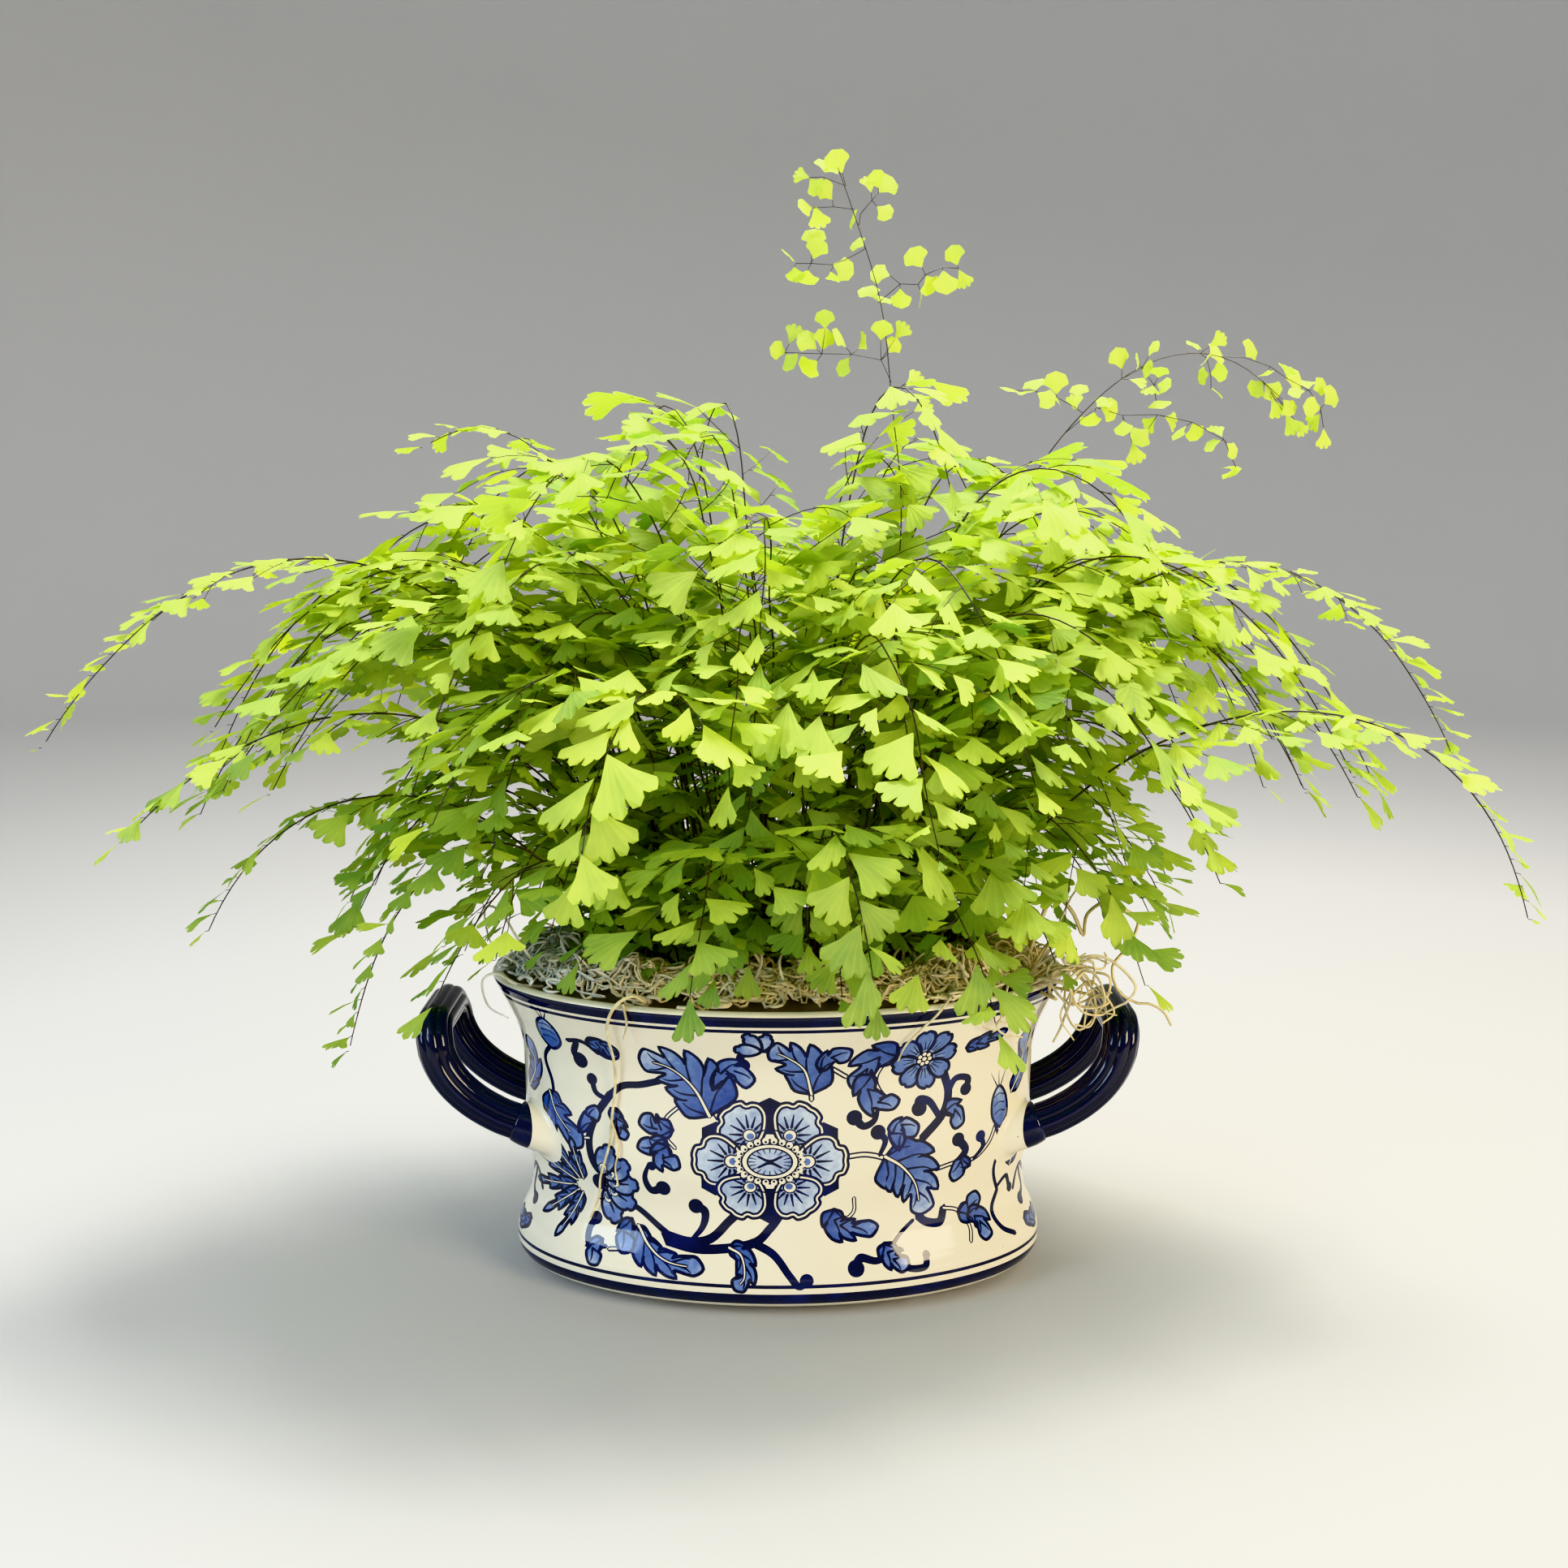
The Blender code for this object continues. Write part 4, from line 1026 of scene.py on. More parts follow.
class FERN_OT_pot(bpy.types.Operator):
    """Build the glazed planter body with its painted scroll, bands and bosses"""

    bl_idname = "fern.pot"
    bl_label = "Planter body"

    def execute(self, context):
        look = context.scene.fern_planter
        painting = Painting(look.line_width / MM)
        paint_scroll(painting)
        places, triangles, paints, depths = painted_half(painting)
        front = on_wall(places.real, places.imag)
        points = [front, front * (-1, -1, 1)]
        faces = [tuple(t) for half in (0, len(front)) for t in triangles + half]
        slots = list(paints) * 2
        for rows, cap in planter_rings():
            joined = lofted(rows, start=sum(len(p) for p in points))
            points += rows
            faces += joined[:-2] + [joined[cap]]
        slots += [CREAM] * (len(faces) - len(slots))
        for side, leg in ((-1, -1), (-1, 1), (1, -1), (1, 1)):
            rows = boss_rows(side, leg)
            faces += lofted(rows, start=sum(len(p) for p in points))
            points += rows
            slots += [CREAM] * (BOSS_CREAM * len(rows[0]))
            slots += [LINE] * (len(faces) - len(slots))
        mesh = mesh_of("pot", np.concatenate(points), faces,
                       [glaze_body(look), glaze_cobalt(look), glaze_wash(look)])
        mesh.polygons.foreach_set("material_index", slots)
        wash = np.zeros(len(mesh.loops), np.float32)
        wash[:2 * depths.size] = np.tile(depths.ravel(), 2)
        mesh.attributes.new("wash", "FLOAT", "CORNER").data.foreach_set("value", wash)
        mesh.shade_smooth()
        merge_close(mesh)
        mesh.set_sharp_from_angle(angle=math.radians(50))
        set_wall_normals(mesh)
        keep("planter", mesh, ["pot_body"])
        return {"FINISHED"}


def merge_close(mesh, distance=2e-6):
    """Joins the points where two parts of the mesh meet."""
    shape = bmesh.new()
    shape.from_mesh(mesh)
    bmesh.ops.remove_doubles(shape, verts=shape.verts, dist=distance)
    shape.to_mesh(mesh)
    shape.free()


def set_wall_normals(mesh):
    """Gives the painted wall the normals of its rounded surface, and keeps the others."""
    count = len(mesh.vertices)
    places = np.zeros(count * 3)
    normals = np.zeros(count * 3, np.float32)
    mesh.vertices.foreach_get("co", places)
    mesh.vertex_normals.foreach_get("vector", normals)
    places, normals = places.reshape(-1, 3) / MM, normals.reshape(-1, 3)
    z = places[:, 2]
    out = flare(z)
    off = np.hypot(places[:, 0] / (HALF_LENGTH + out), places[:, 1] / (HALF_DEPTH + out)) - 1
    spare, close = 0.01, 1e-4
    wall = (z > PAINTED_LOW + spare) & (z < PAINTED_HIGH - spare) & (np.abs(off) < close)
    normals[wall] = wall_normals(places[wall])
    mesh.normals_split_custom_set_from_vertices([tuple(n) for n in normals])


def planter_rings():
    """Rings over the lip and down the inside, and rings of the foot, each with its flat end."""
    turns = np.interp(np.linspace(-QUARTER, QUARTER, HALF_COLUMNS + 1)[:-1], ARC, TURNS)
    turns = np.concatenate([turns, turns + math.pi])
    inside = [(z, inner_out(z)) for z in INSIDE_HEIGHTS]
    floor = [(FLOOR_Z, inside[-1][1] - FLOOR_INSET)]
    high, low = ((z, float(flare(z))) for z in (PAINTED_HIGH, PAINTED_LOW))
    for section, cap in (([high] + LIP + inside + floor, -1), (FOOT[::-1] + [low], -2)):
        yield [on_oval(turns, out, z) for z, out in section], cap


def round_leg(turn):
    """The way out of a handle's leg at an angle round it."""
    return ACROSS * math.cos(turn) + BOSS_RISE * math.sin(turn)


def boss_rows(side, leg, sides=40):
    """Rings of a boss that swells out of the wall, from inside the wall to its flat face."""
    def depth_to_wall(ray, radius, inset):
        low, high = 0.0, DEEPEST
        for _ in range(30):
            mid = (low + high) / 2
            p = BOSS_FACE + Vector((0, leg * LEG_Y, 0)) + ray * radius - BOSS_AXIS * mid
            out = float(flare(p.z)) - inset
            beyond = (p.x / (HALF_LENGTH + out)) ** 2 + (p.y / (HALF_DEPTH + out)) ** 2 > 1
            low, high = (mid, high) if beyond else (low, mid)
        return low

    columns = []
    for turn in spaced(sides):
        ray = round_leg(turn)
        wide = BOSS_RADIUS + FILLET
        spots = [(wide, depth_to_wall(ray, wide, SINK))]
        for step in range(FILLET_STEPS + 1):
            bend = math.pi / 2 * step / FILLET_STEPS
            radius = BOSS_RADIUS + FILLET * (1 - math.sin(bend))
            depth = depth_to_wall(ray, radius, 0.1) - FILLET * (1 - math.cos(bend))
            spots.append((radius, max(depth, BOSS_LAND + 0.1 * (FILLET_STEPS - step))))
        spare = depth_to_wall(ray, BOSS_RADIUS, 0) - FILLET - BOSS_LAND
        neck = NECK + NECK_SHARE * max(spare, 0)
        spots += [(BOSS_RADIUS - inwards, neck * share) for inwards, share in SHOULDER]
        column = [BOSS_FACE + ray * radius - BOSS_AXIS * depth for radius, depth in spots]
        columns.append([(side * p.x, p.y + leg * LEG_Y, p.z) for p in column])
    return [np.array(row[::side]) for row in zip(*columns)]


class FERN_OT_handles(bpy.types.Operator):
    """Build the two fluted handles"""

    bl_idname = "fern.handles"
    bl_label = "Handles"

    def execute(self, context):
        material = glaze_cobalt(context.scene.fern_planter, "handle_glaze", ridged=True)
        for name, side in (("handle_left", -1), ("handle_right", 1)):
            rows, ridges = handle_rows(side)
            mesh = lofted_mesh(name, rows, material, 50)
            attribute_of(mesh, "ridge", "FLOAT", ridges * len(rows))
            keep(name + "_glazed", mesh, [name])
        return {"FINISHED"}


def handle_rows(side, per_flute=8, leg_steps=5, corner_steps=7):
    """Rings of the fluted bar up one leg, along the grip and down the other leg."""
    start = BOSS_FACE + BOSS_AXIS * SEAM
    flat = rounded([complex(x, z) for x, z in [(start.x, start.z)] + LEG_LINE], leg_steps)
    leg = [Vector((v.real, 0, v.imag)) for v in flat]
    top = leg[-1]
    leg = [p for p in leg if (p - top).length > CORNER]
    low, far = top + (leg[-1] - top).normalized() * CORNER, top + Vector((0, CORNER, 0))
    for share in (i / corner_steps for i in range(corner_steps + 1)):
        leg.append(low.lerp(top, share).lerp(top.lerp(far, share), share))
    line = [p - Vector((0, LEG_Y, 0)) for p in leg]
    line += [Vector((p.x, LEG_Y - p.y, p.z)) for p in reversed(leg)]
    turns = spaced(FLUTES * per_flute)
    ridges = [abs(math.cos(FLUTES * turn / 2)) for turn in turns]
    rows = [[line[0] + round_leg(turn) * (LEG_RADIUS - FLUTE_DEPTH * (1 - ridge ** 0.7))
             for turn, ridge in zip(turns, ridges)]]
    for before, here, after in zip(line, line[1:], line[2:] + [None]):
        ahead = (here - before).normalized()
        facing = -BOSS_AXIS
        if after is not None:
            facing = (ahead + (after - here).normalized()).normalized()
        rows.append([p + ahead * ((here - p).dot(facing) / ahead.dot(facing)) for p in rows[-1]])
    return [[(side * p.x, p.y, p.z) for p in r[::side]] for r in rows], ridges[::side]


class FERN_OT_pads(bpy.types.Operator):
    """Build the round pads under the base"""

    bl_idname = "fern.pads"
    bl_label = "Pads"

    def execute(self, context):
        material = pad_rubber(context.scene.fern_planter)
        for name in ("pad_front_left", "pad_front_right", "pad_back_left", "pad_back_right"):
            low, high = (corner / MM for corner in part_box(name))
            centre, radius = (low + high) / 2, (high.x - low.x) / 2
            section = [(low.z + up, radius - inwards) for up, inwards in PAD_EDGE]
            rows = round_rows(centre, section + [(high.z, radius)], 40)
            keep(name + "_rubber", lofted_mesh(name, rows, material, 40), [name])
        return {"FINISHED"}


def new_tree(name, inputs):
    """A geometry tree, the identifiers of its inputs, and the outputs that hand them on."""
    tree = bpy.data.node_groups.new(name, "GeometryNodeTree")
    sockets = {}
    for label, kind in [("Geometry", "Geometry")] + inputs:
        made = tree.interface.new_socket(label, in_out="INPUT", socket_type="NodeSocket" + kind)
        sockets[label] = made.identifier
    tree.interface.new_socket("Geometry", in_out="OUTPUT", socket_type="NodeSocketGeometry")
    return tree, sockets, add_node(tree, "NodeGroupInput").outputs


def coated(tree, geometry, material):
    """Real geometry of one material."""
    whole = add_node(tree, "GeometryNodeRealizeInstances", {"Geometry": geometry})
    return add_node(tree, "GeometryNodeSetMaterial", {"Geometry": whole, "Material": material})


def hand_out(tree, first, *others):
    """Sends geometry out of the tree, joined to the others if there are any."""
    if others:
        join = add_node(tree, "GeometryNodeJoinGeometry", {0: first})
        for other in others:
            tree.links.new(other, join.inputs[0])
        first = join
    add_node(tree, "NodeGroupOutput", {0: first})


def named(tree, name, kind):
    """A value that the mesh carries at each point."""
    return add_node(tree, "GeometryNodeInputNamedAttribute", {"Name": name}, data_type=kind)


def add_tubes(tree, lines, sides, material):
    """Nodes that turn lines with a thickness attribute into closed round tubes."""
    curves = add_node(tree, "GeometryNodeMeshToCurve", {"Mesh": lines})
    thickness = named(tree, "thickness", "FLOAT")
    sized = add_node(tree, "GeometryNodeSetCurveRadius", {"Curve": curves, "Radius": thickness})
    profile = add_node(tree, "GeometryNodeCurvePrimitiveCircle",
                       {"Resolution": sides, "Radius": 1.0})
    tubes = add_node(tree, "GeometryNodeCurveToMesh",
                     {"Curve": sized, "Profile Curve": profile, "Fill Caps": True})
    if "Scale" in tubes.inputs:
        tree.links.new(in_use(thickness.outputs), tubes.inputs["Scale"])
    return coated(tree, tubes, material)


def frond_tree():
    """Side ribs as tubes, and a leaflet on every leaf point."""
    tree, sockets, source = new_tree("frond", [
        ("Leaflets", "Collection"), ("Rib sides", "Int"), ("Leaf finish", "Material"),
        ("Stem finish", "Material")])
    parts = add_node(tree, "GeometryNodeSeparateGeometry", {
        "Geometry": source["Geometry"], "Selection": named(tree, "is_leaf", "BOOLEAN")})
    shapes = add_node(tree, "GeometryNodeCollectionInfo", {
        "Collection": source["Leaflets"], "Separate Children": True, "Reset Children": True})
    leaves = add_node(tree, "GeometryNodeInstanceOnPoints", {
        "Points": parts.outputs["Selection"], "Instance": shapes, "Pick Instance": True,
        "Instance Index": named(tree, "shape", "INT"), "Scale": named(tree, "size", "FLOAT"),
        "Rotation": named(tree, "turn", "FLOAT_VECTOR")})
    ribs = add_tubes(tree, parts.outputs["Inverted"], source["Rib sides"], source["Stem finish"])
    hand_out(tree, coated(tree, leaves, source["Leaf finish"]), ribs.outputs[0])
    return tree, sockets


def strand_tree():
    """Lines as tubes of one material."""
    tree, sockets, source = new_tree("strands", [("Sides", "Int"), ("Finish", "Material")])
    hand_out(tree, add_tubes(tree, source["Geometry"], source["Sides"], source["Finish"]))
    return tree, sockets


def chip_tree():
    """Bark chips scattered on the upward faces of the soil, which stays as it is."""
    tree, sockets, source = new_tree("chips", [
        ("Chip", "Object"), ("Density", "Float"), ("Seed", "Int"), ("Smallest", "Float"),
        ("Largest", "Float"), ("Chip finish", "Material")])
    normal = add_node(tree, "GeometryNodeInputNormal")
    height = add_node(tree, "ShaderNodeSeparateXYZ", {"Vector": normal}).outputs["Z"]
    upward = add_node(tree, "FunctionNodeCompare", {"A": height, "B": 0.7},
                      data_type="FLOAT", operation="GREATER_THAN")
    spots = add_node(tree, "GeometryNodeDistributePointsOnFaces", {
        "Mesh": source["Geometry"], "Selection": upward, "Density": source["Density"],
        "Seed": source["Seed"]})
    chip = add_node(tree, "GeometryNodeObjectInfo", {"Object": source["Chip"]})
    turn = add_node(tree, "FunctionNodeRandomValue", {
        "Min": (0, 0, 0), "Max": (NEAR_TURN,) * 3, "Seed": 3}, data_type="FLOAT_VECTOR")
    size = add_node(tree, "FunctionNodeRandomValue", {
        "Min": source["Smallest"], "Max": source["Largest"]}, data_type="FLOAT")
    chips = add_node(tree, "GeometryNodeInstanceOnPoints", {
        "Points": spots, "Instance": chip.outputs["Geometry"], "Rotation": turn, "Scale": size})
    hand_out(tree, coated(tree, chips, source["Chip finish"]), source["Geometry"])
    return tree, sockets


def grown_mesh(name, source, tree, sockets, values):
    """The mesh that a tree makes of a source mesh, which is then removed."""
    holder = linked(name + "_source", source)
    step = holder.modifiers.new("grow", "NODES")
    step.node_group = tree
    for label, value in values.items():
        step[sockets[label]] = value
    bpy.context.view_layer.update()
    result = bpy.data.meshes.new_from_object(
        holder.evaluated_get(bpy.context.evaluated_depsgraph_get()))
    bpy.data.objects.remove(holder)
    if not result.polygons:
        raise RuntimeError(f"{name} came out empty")
    result.name = name
    return result


class FERN_OT_soil(bpy.types.Operator):
    """Build the soil that fills the planter, with bark chips on top"""

    bl_idname = "fern.soil"
    bl_label = "Soil"

    def execute(self, context):
        look = context.scene.fern_moss
        turns = np.array(spaced(72))
        rows = [on_oval(turns, inner_out(SOIL_HEIGHTS[0]) - TOUCH - FLOOR_INSET, FLOOR_Z + TOUCH)]
        rows += [on_oval(turns, inner_out(z) - TOUCH, z) for z in SOIL_HEIGHTS]
        top = on_oval(turns, inner_out(SOIL_TOP) - TOUCH - 0.8, SOIL_TOP - 1.0)
        for share in SOIL_SHARES:
            rows.append([(x, y, z + 1.4 * noise.noise(Vector((x, y, 0)) * 0.07))
                         for x, y, z in top * (share, share, 1)])
        base = lofted_mesh("soil", rows, soil_finish(look, "damp_soil", 0.8), 60)
        chip = chip_shape()
        mesh = grown_mesh("soil", base, *chip_tree(), {
            "Chip": chip, "Density": look.chips, "Seed": look.seed, "Smallest": CHIP_SMALLEST,
            "Largest": CHIP_LARGEST, "Chip finish": soil_finish(look, "bark_chip", 2.2)})
        bpy.data.objects.remove(chip)
        keep("soil_filled", mesh, ["soil"])
        return {"FINISHED"}


def chip_shape(sides=5):
    """A flattened, uneven chip of unit size."""
    rows = []
    for z, radius in ((-0.4, 0.55), (0.35, 0.85)):
        bends = [1 + 0.25 * math.sin(3 * i + 5 * z) for i in range(sides)]
        rows.append([(radius * bend * math.cos(turn + z) * 1.3,
                      radius * bend * math.sin(turn + z) * 0.7, z)
                     for turn, bend in zip(spaced(sides), bends)])
    return bpy.data.objects.new("chip", mesh_of("chip", rows[0] + rows[1], lofted(rows), scale=1))


def moss_height(x, y):
    """Height of the mat's top at a place, lower among the stems."""
    turn = math.atan2(y / HALF_DEPTH, x / HALF_LENGTH)
    wall = inner_out(MOSS_TOP) - MOSS_WALL_GAP
    outer, inner = (math.hypot(wide * math.cos(turn), deep * math.sin(turn)) for wide, deep in
                    ((HALF_LENGTH + wall, HALF_DEPTH + wall), (CROWN_X, CROWN_Y)))
    share = (math.hypot(x, y) - inner) / (outer - inner)
    if share < 0:
        return CROWN_HEIGHT + CROWN_RISE * max(0.0, 1 + 3 * share)
    return float(np.interp(share, STRAND_SHARES, STRAND_HEIGHTS))


def moss_rows(sides=160):
    """Rings of the mat's section, with lumps on its upper side."""
    rows = []
    for share, height in MOSS_SECTION:
        wall = inner_out(height) - MOSS_WALL_GAP
        wide = CROWN_X + (HALF_LENGTH + wall - CROWN_X) * share
        deep = CROWN_Y + (HALF_DEPTH + wall - CROWN_Y) * share
        row = []
        for turn in spaced(sides):
            x, y, lump = wide * math.cos(turn), deep * math.sin(turn), 0.0
            if height > MOSS_FOOT:
                lump = 2.2 * math.sin(5 * turn + 3 * share) + 1.3 * math.cos(11 * turn)
                lump += 2.0 * noise.noise(Vector((x, y, height)) * 0.15) - 1.5 + 12 * (1 - share)
            row.append((x, y, height + lump))
        rows.append(row)
    return rows


class FERN_OT_moss(bpy.types.Operator):
    """Build the mat of dried moss, its loose strands and those that hang over the rim"""

    bl_idname = "fern.moss"
    bl_label = "Moss"

    def execute(self, context):
        look = context.scene.fern_moss
        # The mat is coloured nearly all dark brown: painted shade under and between the strands.
        mat = lofted_mesh("moss_mat", moss_rows(), moss_finish(look, "moss_mat", 0.05), 60,
                          closed=True)
        attribute_of(mat, "tone", "FLOAT", [0.45] * len(mat.vertices))
        keep("moss_bed", mat, ["moss_mat"])
        tree, sockets = strand_tree()
        values = {"Sides": 3, "Finish": moss_finish(look, "moss_strand", 1.0)}
        for name, lines in (("moss_strands", loose_strands(look)),
                            ("moss_hanging", hanging_strands(look))):
            mesh = grown_mesh(name, lines_mesh(name, lines), tree, sockets, values)
            mesh.shade_smooth()
            keep(name, mesh, ["moss_mat"])
        return {"FINISHED"}


def lines_mesh(name, lines, leaves=()):
    """Open lines, each (points, radii, tone), and leaf points as one mesh."""
    points, edges, radii, tones = [], [], [], []
    for line, thick, tone in lines:
        edges += [(len(points) + i, len(points) + i + 1) for i in range(len(line) - 1)]
        points += line
        radii += [r * MM for r in thick]
        tones += [tone] * len(line)
    bare, count = len(points), len(leaves)
    mesh = mesh_of(name, points + [leaf[0] for leaf in leaves], [], edges=edges)
    attribute_of(mesh, "thickness", "FLOAT", radii + [0.0] * count)
    attribute_of(mesh, "tone", "FLOAT", tones + [leaf[4] for leaf in leaves])
    if leaves:
        attribute_of(mesh, "is_leaf", "BOOLEAN", [False] * bare + [True] * count)
        for column, (value, kind, none) in enumerate(LEAF_VALUES, 1):
            attribute_of(mesh, value, kind, [none] * bare + [leaf[column] for leaf in leaves])
    return mesh


def loose_strands(look, step=3.2):
    """Curly strands on the mat and between the stems. A few of them loop up or lie on the rim."""
    draw = random.Random(look.seed)
    lines = []
    for _ in range(look.strands):
        turn = draw.uniform(0, FULL_TURN)
        near_wall = draw.random() < NEAR_WALL_SHARE
        reach = draw.triangular(0.62, 1.0, 0.97) if near_wall else draw.uniform(0.1, 0.65)
        x = reach * (HALF_LENGTH + STRAND_OUT) * math.cos(turn)
        y = reach * (HALF_DEPTH + STRAND_OUT) * math.sin(turn)
        heading = draw.uniform(0, FULL_TURN)
        swing, rate = draw.uniform(0.8, 3.4), draw.uniform(0.09, 0.30)
        phase, drift = draw.uniform(0, NEAR_TURN), draw.uniform(-0.04, 0.04)
        hump = draw.uniform(7, 16) if draw.random() < HUMP_SHARE else draw.uniform(0.5, 6.0)
        wave = draw.uniform(20, 56)
        limit = RIM_REACH if draw.random() < RIM_SHARE else draw.uniform(-3, 6.6)
        thick = look.strand_radius / MM * draw.uniform(0.62, 1.15)
        lift = draw.uniform(-3.2, 3.0)
        points = []
        for i in range(draw.randint(12, 26)):
            way = heading + drift * i * step + swing * math.sin(rate * i * step + phase)
            x, y = x + step * math.cos(way), y + step * math.sin(way)
            edge = math.hypot(x / (HALF_LENGTH + limit), y / (HALF_DEPTH + limit))
            if edge > 1:
                x, y = x / edge, y / edge
            z = moss_height(x, y) + hump * abs(math.sin(i * step / wave * math.pi)) + lift
            if math.hypot(x / (HALF_LENGTH + LIP_OUT), y / (HALF_DEPTH + LIP_OUT)) > 1:
                z = max(z, LIP_TOP + thick + 0.2)
            points.append((x, y, z))
        # Grey at the left: partly the moss's own colour, partly painted cool light.
        tone = float(np.interp(points[0][0], [GREY_END, GREY_START], [0.04, 0.82]))
        tone += draw.uniform(-0.22, 0.18)
        ends = [0.5 * thick]
        lines.append((points, ends + [thick] * (len(points) - 2) + ends, clamped(tone)))
    return lines


def over_rim(points):
    """A smooth line through points, each given as x, y and z."""
    flat = rounded([complex(x, z) for x, _, z in points], 5)
    deep = rounded([complex(y, 0) for _, y, _ in points], 5)
    return [(a.real, b.real, a.imag) for a, b in zip(flat, deep)]


def down_wall(places):
    """Points just off the wall from distances round it and heights."""
    return [tuple(on_wall(np.array(s), np.array(z), gap)) for s, z, gap in places]


def tangle(draw, count=9):
    """Loose loops between the rim's right end and the right handle, in front of its leg."""
    for _ in range(count):
        turn, way = draw.uniform(0, NEAR_TURN), draw.choice((-1, 1))
        middle = complex(draw.uniform(146, 168), draw.uniform(170, 202))
        drift = complex(draw.uniform(-1, 4), draw.uniform(-7, 1))
        points = [(draw.uniform(130, 140), draw.uniform(-44, -28), 173)]
        for k in range(draw.randint(4, 8)):
            turn += way * draw.uniform(0.7, 1.7)
            ray = complex(math.cos(turn), math.sin(turn))
            spot = middle + k * drift + draw.uniform(5, 15) * ray
            points.append((spot.real, draw.uniform(-58, -47), spot.imag))
        yield draw.uniform(0.8, 1.2), points


# Strands down the front of the wall: thickness, then distances round it, heights and gaps
ON_WALL = [
    (1.0, [(-66, 176, -8), (-69, 181, -1), (-76, 175, 2.5), (-82, 161, 4), (-84, 143, 4),
           (-86, 128, 3), (-90, 105, 2), (-91, 94, 2), (-98, 73, 2.5), (-101, 60, 2.5),
           (-106, 47, 2.5)]),
    (0.8, [(-72, 177, 1.5), (-71, 166, 3), (-74, 157, 5)]),
    (0.7, [(-90, 105, 2), (-86, 92, 2), (-88, 80, 3), (-86, 70, 5)]),
    (0.85, [(84, 175, -7), (82, 179, 0.5), (74, 172, 3.5), (68, 163, 3.5), (63, 154, 3),
            (61, 144, 3)]),
    (0.9, [(100, 176, -7), (106, 180, 1), (112, 171, 5), (108, 160, 6), (117, 152, 6),
           (129, 148, 8)]),
    (0.8, [(122, 177, -4), (114, 181, 1), (107, 171, 6), (112, 160, 5), (124, 165, 5),
           (121, 176, 2)]),
    (0.8, [(92, 177, -5), (98, 179, 1), (96, 168, 5), (102, 160, 4), (110, 156, 4)]),
]
# Strands over the right handle: thickness, then places
ON_HANDLE = [
    (1.25, [(134, -24, 172), (142, -26, 200), (150, -28, 220), (160, -30, 213), (167, -30, 199),
            (169, -30, 211), (180, -32, 219), (190, -31, 213), (197, -29, 207), (193, -27, 193),
            (184, -28, 181), (187, -30, 168), (197, -30, 161), (205, -30, 160), (212, -32, 156),
            (216, -34, 149)]),
    (0.95, [(138, -20, 174), (152, -26, 196), (165, -32, 181), (180, -38, 178), (177, -42, 164),
            (164, -44, 150), (156, -42, 163), (159, -38, 184), (168, -34, 190)]),
    (0.85, [(140, -30, 174), (154, -38, 184), (166, -42, 176), (172, -44, 162),
            (184, -44, 158)]),
    (0.7, [(136, -34, 173), (150, -34, 200), (162, -30, 224), (175, -30, 229), (192, -28, 223)]),
    (0.8, [(130, -40, 173), (150, -48, 188), (158, -50, 176), (152, -52, 160), (160, -50, 146)]),
]
# Strands at the left end, the back and the far end of the right handle
AT_ENDS = [
    (1.0, [(-128, -36, 172), (-141, -42, 175), (-152, -42, 181), (-160, -40, 176),
           (-157, -42, 163), (-145, -48, 158)]),
    (0.8, [(-126, -30, 172), (-140, -34, 196), (-150, -36, 214), (-158, -36, 216),
           (-157, -38, 203), (-152, -40, 190)]),
    (0.85, [(-130, -20, 172), (-146, -26, 184), (-156, -28, 190), (-160, -26, 182)]),
    (0.9, [(120, 30, 172), (146, 38, 186), (160, 36, 178), (172, 42, 160), (168, 46, 144)]),
    (0.9, [(-110, 40, 172), (-138, 56, 184), (-150, 60, 172), (-148, 66, 156)]),
    (0.95, [(20, 74, 172), (30, 92, 182), (38, 102, 172), (34, 104, 150), (42, 102, 136)]),
    (0.9, [(-60, 66, 172), (-66, 86, 184), (-60, 98, 174), (-70, 100, 156)]),
]


def hanging_strands(look):
    """The strands that hang over the rim and over the right handle."""
    shapes = [(share, down_wall(places)) for share, places in ON_WALL] + ON_HANDLE
    shapes += list(tangle(random.Random(look.seed + 2))) + AT_ENDS
    draw = random.Random(look.seed + 1)
    lines = []
    for share, points in shapes:
        line = over_rim(points)
        thick = look.strand_radius / MM * share
        pale = 0.25 if points[0][0] < PALE_LEFT else 0.85
        lines.append((line, [thick * (1.1 - 0.5 * i / len(line)) for i in range(len(line))],
                      pale + draw.uniform(-0.12, 0.15)))
    return lines


def jitter(number, salt):
    """A fixed draw between -1 and 1 for one frond and one use."""
    wave = math.sin(number * 12.9898 + salt * 78.233) * 43758.5453
    return 2 * (wave - math.floor(wave)) - 1


def bezier_weights(share):
    back = 1 - share
    return back ** 3, 3 * back ** 2 * share, 3 * back * share ** 2, share ** 3


